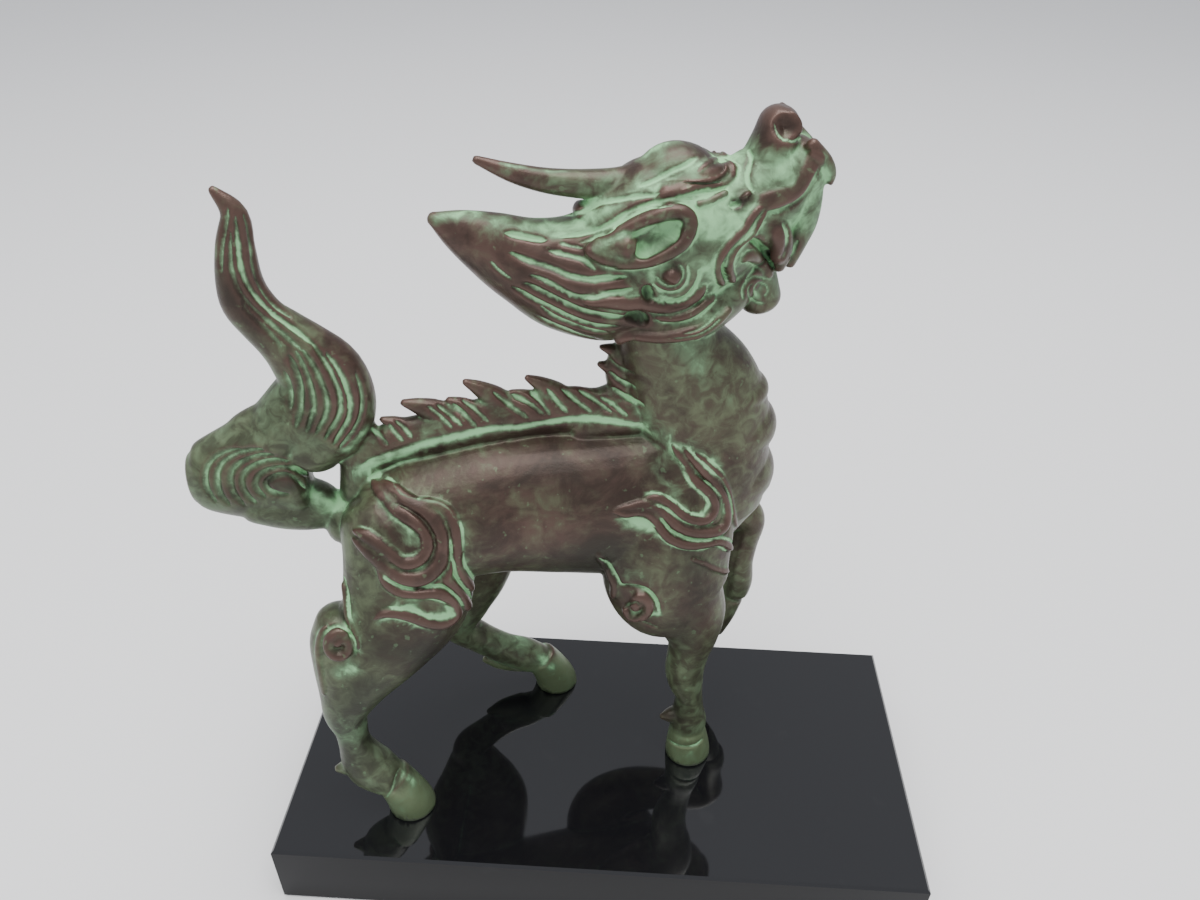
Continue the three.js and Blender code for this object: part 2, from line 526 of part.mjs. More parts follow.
function slab() {
  const outline = new THREE.Shape();
  const x = plinthLength / 2 - plinthArris;
  const y = plinthDepth / 2 - plinthArris;
  outline.moveTo(-x, -y).lineTo(x, -y).lineTo(x, y).lineTo(-x, y).closePath();
  return new THREE.ExtrudeGeometry(outline, {
    depth: plinthHeight - 2 * plinthArris,
    bevelEnabled: true,
    bevelThickness: plinthArris,
    bevelSize: plinthArris,
    bevelSegments: 1,
  }).translate(0, 0, plinthArris);
}

const bronze = new THREE.MeshStandardMaterial({ color: '#5f6b4c', roughness: 0.5, metalness: 0.6 });
const lacquer = new THREE.MeshStandardMaterial({ color: '#0b0b0d', roughness: 0.12, metalness: 0 });

const plinth = new THREE.Mesh(geometryOf(solid(slab())), lacquer);
plinth.name = 'plinth';

const qilin = new THREE.Mesh(thinned(geometryOf(casting), skinTolerance), bronze);
qilin.name = 'qilin';
qilin.rotation.z = THREE.MathUtils.degToRad(figureTurn);
qilin.position.set(figurePlace[0], figurePlace[1], plinthHeight + hoofClearance);

const group = new THREE.Group();
group.add(plinth, qilin);

export default group;
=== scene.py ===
import math

import bmesh
import bpy
import numpy as np
from bpy.props import FloatProperty, FloatVectorProperty, IntProperty, PointerProperty
from mathutils import Matrix, Vector
from mathutils.bvhtree import BVHTree


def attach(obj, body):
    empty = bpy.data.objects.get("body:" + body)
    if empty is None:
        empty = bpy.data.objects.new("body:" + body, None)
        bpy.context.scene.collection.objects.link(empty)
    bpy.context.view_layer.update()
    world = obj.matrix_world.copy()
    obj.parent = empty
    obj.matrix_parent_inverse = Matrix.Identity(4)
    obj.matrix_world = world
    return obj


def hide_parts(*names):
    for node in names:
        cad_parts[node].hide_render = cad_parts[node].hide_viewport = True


bl_info = {
    "name": "Cast qilin figure",
    "version": (1, 0, 0),
    "blender": (4, 5, 0),
    "location": "View3D > Sidebar > Qilin",
    "description": "Builds the cast figure, its patina, the polished slab and the stage",
    "category": "Object",
}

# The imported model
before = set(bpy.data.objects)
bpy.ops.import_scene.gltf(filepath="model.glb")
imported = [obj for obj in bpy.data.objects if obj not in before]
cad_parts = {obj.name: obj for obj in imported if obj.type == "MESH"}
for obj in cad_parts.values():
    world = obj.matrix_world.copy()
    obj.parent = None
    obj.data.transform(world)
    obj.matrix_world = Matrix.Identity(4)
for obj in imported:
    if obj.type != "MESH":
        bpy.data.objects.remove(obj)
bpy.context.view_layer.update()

# How the figure is turned and set on the slab, in millimetres
MM = 0.001
TURN = math.radians(12)
PLACE = Vector((-1, 9, 25.3))
TO_ROW = Matrix.Scale(MM, 4) @ Matrix.Translation(PLACE) @ Matrix.Rotation(TURN, 4, "Z")

# The photograph's camera, in the row frame, and the width and height of its picture
CAMERA_PLACE = Vector((4.0, -198.6, 292.0))
CAMERA_PITCH = math.radians(35.85)
CAMERA_YAW = math.radians(-2.265)
CAMERA_ROLL = math.radians(1.30)
CAMERA_LENS = 27.78
SENSOR = 36
CAMERA_NEAR, CAMERA_FAR = 0.01, 20
PICTURE = (1200, 900)

# Masses of the figure in millimetres, in its own upright middle plane:
# x forward, y to its left, z up from the soles, half height and half width
TRUNK = [
    (-74.3, 0, 101.8, 7.2, 8.5), (-68.5, 0, 100.6, 15.5, 16.2), (-57.5, 0, 100, 19.5, 20),
    (-44, 0, 101.5, 21, 19), (-30, 0, 103, 22, 19), (-13.5, 0, 102.2, 23.6, 19.5),
    (5, 0, 100.8, 25.2, 19), (21, 0, 102, 24.5, 17.5), (34, 0, 105, 16.5, 13), (40, 0, 107, 10, 8),
]
NECK = [
    (28.5, 0, 100.3, 17, 14), (26.4, 0, 113.6, 18.5, 14.5), (24.7, 0, 125.9, 18.8, 13.6),
    (20.4, 0, 137.1, 18, 12.7), (15.3, 0, 147.4, 14.7, 12), (11, 0, 157.6, 12, 12),
]
SKULL = [
    (-6.3, 0, 171.9, 13, 9.5), (1.9, 0, 175, 18, 13), (11.1, 0, 178, 20.5, 14.5),
    (21.3, 0, 181.4, 16.6, 13.5), (30.5, 0, 186, 12.3, 11), (37.7, 0, 191.8, 10.5, 9),
    (42.8, 0, 194.4, 8, 7.5),
]
JAW = [
    (0.9, 0, 164.7, 9, 11), (9, 0, 162.7, 10, 13), (17.5, 0, 162.2, 10, 13),
    (25.2, 0, 165.2, 8.4, 11), (31.6, 0, 170.6, 6.4, 8),
]
BROW = [
    (3.9, 0, 190.2, 4, 6), (10.8, 0, 193.9, 6.8, 7.5), (16.6, 0, 194.3, 5.9, 7.5),
    (22.5, 0, 190.6, 3.6, 7),
]
HORN = [
    (9, 0, 193.4, 5, 4.6), (0.9, 0, 192, 4, 3.8), (-7.3, 0, 192.2, 3.4, 3.4),
    (-16.5, 0, 193.3, 2.9, 2.8), (-24.7, 0, 195.5, 2.2, 2.1), (-32.6, 0, 198.7, 1, 1),
]
HORN_LOCK = [(-2, 0, 183, 5, 6), (-6.5, 0, 185, 3.6, 5), (-9.5, 0, 186.2, 2.1, 3.6)]
MANE = [
    (9, 0, 169.9, 15, 13), (-3.2, 0, 169.9, 17, 13.5), (-13.5, 0, 170.9, 14.5, 11.5),
    (-22.7, 0, 174.4, 10.8, 8.5), (-30.8, 0, 178.9, 8, 6), (-38, 0, 182.9, 4.8, 3.8),
    (-43.1, 0, 185.7, 1.6, 1.5),
]
NOSE = [(33.9, 0, 195.4, 5.8, 7.2), (35.5, 0, 200.3, 5.3, 6.9), (36.2, 0, 203.9, 4.9, 6.4)]
CHIN = [
    (46.3, 0, 196, 2.2, 4), (44.2, 0, 189.3, 4.6, 6.5), (43.7, 0, 182.1, 4.8, 6.5),
    (43.1, 0, 176, 3.2, 5.6), (42.2, 0, 171, 2, 4.6),
]
BEARD = [(30, 0, 176, 5, 6.5), (33.8, 0, 169.8, 5.5, 6), (37, 0, 161.2, 5.4, 5.6)]
TAIL_STEM = [
    (-89, 0, 194.2, 1, 1), (-85.6, 0, 188.6, 3, 2.6), (-86.8, 0, 181.2, 4.3, 3.6),
    (-87.6, 0, 173.5, 5.2, 4.4), (-87, 0, 167.6, 6, 4.9), (-84.4, 0, 162.7, 6.1, 5.3),
    (-80.8, 0, 158.2, 7, 5.8), (-77.4, 0, 153.6, 8.6, 6.6), (-73.9, 0, 147.4, 10.9, 7.4),
    (-73.2, 0, 140.5, 12.2, 8), (-75, 0, 134, 12.6, 8.2), (-77.5, 0, 129.5, 11.5, 8),
    (-79.5, 0, 125.5, 8.6, 7.6),
]
TAIL_LOBE = [
    (-109.8, 0, 118.3, 7.5, 4.8), (-107.5, 0, 118.3, 10.3, 6), (-102, 0, 118.6, 13, 7.2),
    (-95.5, 0, 119.2, 15.7, 7.8), (-89, 0, 120.6, 18, 8.2), (-85, 0, 121.2, 19.6, 8.2),
]
TAIL_BEND = [(-73, 0, 143, 10, 8), (-79, 0, 138, 9.5, 8.2), (-85, 0, 133, 8.3, 8.2), (-91, 0, 127, 8, 8)]
TAIL_ROOT = [
    (-95, 0, 110.6, 7.5, 7.2), (-88, 0, 108.2, 8.1, 7), (-81, 0, 106.1, 7.4, 6.3),
    (-75.5, 0, 104, 5.4, 5.2), (-68, 0, 104, 5.6, 5),
]
TAIL_WEB = [
    (-68, 0, 108, 6.5, 5), (-67, 0, 118.7, 6, 4.2), (-66.6, 0, 126.9, 5.5, 3.5),
    (-69.5, 0, 135.1, 5, 4),
]
COMB = [
    (-66, 0, 119, 5, 3.6), (-58.5, 0, 124.4, 6.4, 3.9), (-49, 0, 126.1, 6.8, 4.1),
    (-35, 0, 129.2, 7, 4.3), (-19.6, 0, 131, 7, 4.3), (-5, 0, 130.4, 6.6, 4.2),
    (2.8, 0, 135.5, 5, 4), (2.6, 0, 142, 5, 3.8), (2.4, 0, 147, 4.2, 3.6),
]
# Fills the foot of the neck below the comb
WITHERS = [(-9, 0, 126, 5, 5), (-2, 0, 128, 7, 6), (5, 0, 130, 8, 7)]

# Legs from the trunk to the sole, hocks and hooves
HIND_NEAR = [
    (-57.4, -9, 104.4, 17, 11), (-57.4, -12.5, 93.2, 17.5, 10.5), (-59.4, -15.5, 81.4, 17.5, 9.5),
    (-67.2, -18, 69.6, 14.8, 8.5), (-76, -20, 56.4, 10, 7.3), (-80, -21, 46.5, 6.8, 6),
    (-79.7, -21.5, 38.5, 4.9, 4.9), (-79.4, -21.8, 32, 4.8, 4.9), (-78.3, -22, 26, 6.3, 5.6),
    (-75.8, -22.3, 20, 7.4, 6.2), (-72, -22.6, 14.8, 6.4, 5.7),
]
HOCK_NEAR = [
    (-76.8, -17, 77.6, 7.6, 7.4), (-78.4, -17.8, 71.5, 8.2, 7.8), (-79.6, -18.8, 64, 7.2, 7.4),
    (-80, -19.5, 55, 6.7, 6.5), (-80.3, -20.8, 46.5, 6.4, 6),
]
HIND_NEAR_HOOF = [
    (-70.5, -22.8, 15.2, 5.7, 5.8), (-67.6, -22.8, 7.8, 6.4, 6.3), (-65.6, -22.8, 0.9, 7.2, 6.9),
    (-65.2, -22.8, -3, 7.2, 6.9),
]
HIND_FAR = [
    (-55.4, 9, 104.4, 17, 11), (-49.5, 13, 92.1, 18, 10.5), (-44, 17, 79.9, 16.5, 9.5),
    (-41, 19.5, 66.6, 14.5, 8.5), (-42.2, 20.5, 55.3, 12.6, 7.8), (-45.2, 21, 43.6, 9.6, 6.8),
    (-47, 21.2, 33, 6.6, 5.8), (-40.5, 21.2, 25.6, 5.6, 5.1), (-32.5, 21, 19.1, 5.6, 5.1),
    (-25.5, 20.8, 15, 6.2, 5.8), (-20.5, 20.6, 12.4, 5.4, 5.3),
]
HOCK_FAR = [
    (-60, 10, 82, 5, 7), (-60.5, 14.5, 71, 7.5, 7.8), (-57.5, 17.5, 60, 7.2, 7.4),
    (-53, 19.5, 50, 6.8, 6.5), (-49.5, 21, 40.5, 6.2, 6),
]
HIND_FAR_HOOF = [
    (-19.7, 20.5, 13, 5.7, 5.8), (-16.3, 20.5, 7, 6.4, 6.3), (-14.1, 20.5, 0.9, 7.2, 6.9),
    (-13.7, 20.5, -3, 7.2, 6.9),
]
FORE_NEAR = [
    (19.3, -8, 108.5, 15, 9.5), (16.2, -11.5, 96, 18, 10), (14.4, -13.5, 84, 18.6, 9.7),
    (17.2, -14.5, 73, 16.9, 9), (22.4, -14.8, 64.5, 11.6, 8), (24, -14.9, 56, 8.2, 7),
    (23.6, -14.8, 49.5, 6.6, 6.2), (22.9, -14.7, 41, 6.2, 5.9), (23.6, -14.7, 34.5, 5.6, 5.4),
    (25.2, -14.7, 27.5, 4.4, 4.7), (25.5, -14.8, 21.5, 4.9, 5), (25.7, -15, 15.5, 6.1, 5.8),
    (25.8, -15.3, 11, 5.5, 5.4),
]
FORE_NEAR_HOOF = [
    (25.7, -15.4, 12, 5.8, 5.8), (26.1, -15.5, 6.6, 6.8, 6.6), (26.5, -15.6, 0.9, 7.5, 7.1),
    (26.6, -15.6, -3, 7.5, 7.1),
]
FORE_FAR = [
    (16, 8, 108, 15, 9.5), (11, 12, 95, 17, 10), (5, 14.5, 82, 16.5, 9.5), (5, 15.5, 72, 12, 9),
    (14, 16, 67, 9.5, 8.5), (25, 16.4, 68.5, 8.6, 8), (35, 16.8, 72.5, 7.6, 7.2),
    (43.7, 17, 76.6, 6.4, 6.6), (48.6, 16.8, 73, 5.9, 6.2), (47.8, 16, 64.4, 5.2, 5.6),
    (46.8, 14.8, 56.6, 5.1, 5.3), (46.8, 14, 49.5, 5.5, 5.6), (46.3, 13.6, 45, 5.2, 5.4),
]
FORE_FAR_HOOF = [(44.9, 13.4, 42.5, 4.9, 5.2), (42.3, 13, 35.5, 5.1, 5.5), (39.2, 12.8, 29.5, 5.3, 5.7)]
TUFTS = [
    [(-78, -22, 22.5, 4, 3.6), (-83, -22, 21, 3, 2.6), (-85.8, -22, 20.6, 1.4, 1.3)],
    [(-27, 21, 12.4, 5, 4.4), (-33.5, 21, 12.4, 3.4, 3), (-39, 21, 14, 1.4, 1.3)],
    [(22.5, -15, 18.6, 3.2, 3), (19.2, -15, 18.2, 2.6, 2.4), (17, -15, 18, 1.2, 1.2)],
    [(42.5, 13.6, 48.5, 3, 3), (39, 13.4, 45, 2.5, 2.4), (37.8, 13.2, 41, 0.9, 0.9)],
]

# Parts of the muzzle, drawn on the near side and mirrored
WHISKER = [
    (42.6, -5.5, 201.4, 1.6, 1.6), (46.2, -5.4, 197.6, 1.8, 1.8), (48.2, -5.2, 194.6, 1.4, 1.4),
    (48.7, -5, 192.2, 0.8, 0.8),
]
TUSK = [
    (32, -8.5, 186.5, 1.6, 1.6), (36.4, -7.9, 182, 3.1, 2.6), (38.7, -6, 176, 2.7, 2.4),
    (39, -5, 171.8, 1.6, 1.6),
]

# Spikes along the spine, leaning back: x and z of the tip, x and z of the root, half thickness
SPIKES = [
    (-60.6, 132.3, -50, 125.5, 2.4), (-54.6, 136.9, -41, 129.5, 3.2), (-43.2, 136.9, -33, 129.5, 2.4),
    (-38.6, 141.9, -26, 130.5, 3), (-26.9, 137.8, -15.5, 130, 2.8), (-22.7, 141.9, -10, 130.5, 3),
    (-12.6, 137.6, -2, 130, 2.8), (-7.5, 136.6, 3, 130, 2.6), (-1.4, 139.4, 9, 133, 2.8),
    (-3.9, 144.6, 7, 137, 2.8), (-3.6, 149.6, 6, 144.5, 2.2),
]
SPIKE_WIDTH = 3.2
SPIKE_BOW = 0.04

# Plates down the front of the neck: x of the front, z of the middle, reach to each side and
# full height, and the depth as a share of the reach
PLATES = [(42.4, 135, 11, 13), (46.1, 123, 12, 22), (47.4, 107.5, 12.5, 26)]
PLATE_DEPTH = 1.17

# In every table of lines below, a line is a row of x, y pairs: pixels of the photograph on the
# near side, which are laid on the skin and repeated on the far flank. Other values are in
# millimetres, or shares of one.

# Strands that stand well proud: how far they are lifted off the skin, half width at the start
# and the end, and the line
STRANDS = [
    (0.9, 1.2, 1.9, [590, 250, 600, 243, 614, 236, 628, 228, 642, 221, 656, 216, 670, 212]),
    (0.9, 1.9, 1.6, [670, 212, 682, 213, 689, 220, 688, 230, 683, 240, 675, 247, 663, 254, 649, 259,
        635, 261, 621, 261, 608, 259, 597, 255, 590, 250]),
    (0.7, 2.0, 3.0, [597, 250, 608, 248, 620, 246, 630, 246]),
    (0.6, 1.3, 1.9, [618, 338, 630, 333, 645, 334, 662, 335, 680, 333, 697, 330]),
    (0.4, 1.9, 1.1, [697, 330, 708, 325, 718, 318, 728, 309]),
    (0.5, 1.9, 1.2, [636, 605, 640, 594, 648, 601, 648, 610, 640, 616, 630, 615, 626, 608]),
    (0.3, 1.6, 1.3, [345, 633, 337, 632, 330, 638, 329, 648, 335, 655, 343, 655, 348, 649, 348, 641,
        342, 638, 337, 643]),
]

# Broad rises and dents under the bands: half width, height and line
MOUNDS = [
    (3.0, 1.5, [668, 194, 684, 188, 700, 180, 716, 174, 727, 170]),
    (2.6, 0.9, [776, 236, 779, 248, 777, 258]),
    (2.3, 2.2, [671, 275, 673, 277]),
    (3.0, -2.6, [785, 124, 788, 128]),
    (1.5, -2.2, [647, 291, 649, 296]),
    (2.2, -2.8, [633, 317, 641, 320]),
    (3.0, -1.2, [645, 251, 656, 243, 668, 234]),
    (3.6, -0.8, [388, 505, 400, 522, 408, 538]),
    (3.6, -0.7, [660, 465, 676, 488, 692, 500]),
    (2.6, -0.8, [412, 604, 430, 606, 444, 609]),
]

# Raised bands: half width, height and line
BANDS = [
    # Flame on the haunch
    (2.1, 1.5, [372, 480, 380, 489, 388, 498, 397, 509, 408, 517, 418, 524, 425, 531, 428, 540, 427, 550,
        421, 559, 412, 563, 403, 563, 395, 558, 387, 551, 377, 543, 366, 535, 353, 530]),
    (2.4, 1.6, [380, 481, 390, 488, 400, 497, 411, 504, 422, 509, 431, 516, 438, 526, 442, 538, 442, 550,
        440, 561, 434, 570, 425, 577, 414, 579, 403, 577, 393, 572, 384, 564, 375, 555, 364, 546,
        353, 538]),
    (1.7, 1.3, [412, 502, 424, 503, 434, 505, 443, 508, 450, 515, 454, 525, 456, 535, 457, 548, 457, 560,
        460, 571, 465, 580, 471, 588, 476, 596]),
    (1.6, 1.1, [450, 556, 449, 568, 447, 578, 453, 586, 459, 593, 465, 601, 469, 608]),
    (1.7, 1.3, [376, 560, 382, 572, 388, 583, 397, 590, 408, 593, 420, 594, 432, 593, 443, 595, 451, 600,
        456, 607, 457, 614, 452, 620, 444, 624, 434, 624, 423, 621, 412, 617, 402, 614, 392, 612.5,
        382, 614, 374, 619]),
    # Flame on the shoulder
    (1.5, 1.1, [672, 444, 680, 456, 687, 468, 695, 480, 703, 487, 711, 495, 715, 505, 713, 514, 706, 520,
        697, 521, 688, 518, 680, 513, 672, 506, 663, 500, 654, 497, 645, 499]),
    (1.7, 1.2, [684, 449, 692, 458, 700, 467, 709, 477, 717, 486, 723, 496, 726, 507, 727, 518, 724, 527,
        716, 532, 706, 533, 695, 532, 685, 529, 676, 524, 668, 516, 660, 510, 651, 506, 640, 505,
        628, 507, 614, 509]),
    (1.5, 1.2, [612, 511, 625, 513, 636, 511, 646, 512, 654, 518, 660, 527, 667, 536, 675, 541,
        685, 544.5, 696, 545, 708, 543, 718, 541, 726, 544, 732, 551, 735, 559]),
    (1.0, 0.8, [694, 452, 705, 461, 715, 470, 723, 480, 728, 492, 731, 506, 734, 520, 737, 534, 738, 550]),
    (1.0, 0.7, [690, 558, 704, 563, 714, 568, 726, 571, 732, 568, 735, 560]),
    # Elbow and hock
    (1.3, 0.9, [597, 552, 604, 563, 610, 575, 614, 586, 613, 598]),
    (1.1, 0.8, [336, 560, 340, 572, 344, 585, 346, 600, 348, 618, 355, 635, 358, 650]),
    (1.2, 0.7, [327, 625, 320, 638, 318, 655, 321, 675, 324, 695]),
    # Nose, muzzle rim and lips
    (0.7, 0.6, [789, 112, 796, 117, 800, 125, 799, 134]),
    (2.4, 0.75, [813, 150, 814, 160, 810, 171, 805, 181, 799, 190, 790, 196, 778, 199, 767, 202, 758, 209]),
    (1.1, 1.0, [765, 203, 757, 210, 750, 219, 745, 228, 738, 235, 731, 242, 725, 250, 720, 258, 718, 267,
        719, 276, 723, 285]),
    (1.1, 1.0, [767, 209, 761, 216, 756, 225, 751, 234, 743, 240, 736, 247, 731, 256, 729, 265, 730, 274,
        734, 282]),
    # Eye
    (0.7, 0.5, [696, 172, 704, 165, 714, 160, 725, 161, 733, 167, 734, 175, 729, 182, 718, 187, 705, 188,
        692, 190, 678, 195]),
    (0.7, 0.55, [680, 184, 694, 181, 709, 181, 719, 178, 724, 174, 721, 169]),
    (1.0, 0.8, [695, 205, 708, 202, 718, 197, 728, 192]),
    (1.6, 1.3, [744, 194, 747, 198]),
    # Cheek
    (1.9, 1.2, [583, 302, 600, 300, 615, 302, 630, 304, 640, 303, 650, 305, 661, 308, 673, 308, 684, 305,
        692, 299, 699, 292, 705, 284]),
    (1.5, 0.9, [655, 316, 670, 318, 684, 316, 696, 310, 706, 302, 714, 293]),
    # Beard
    (1.6, 1.0, [741, 262, 748, 256, 757, 258, 765, 266, 771, 277]),
]

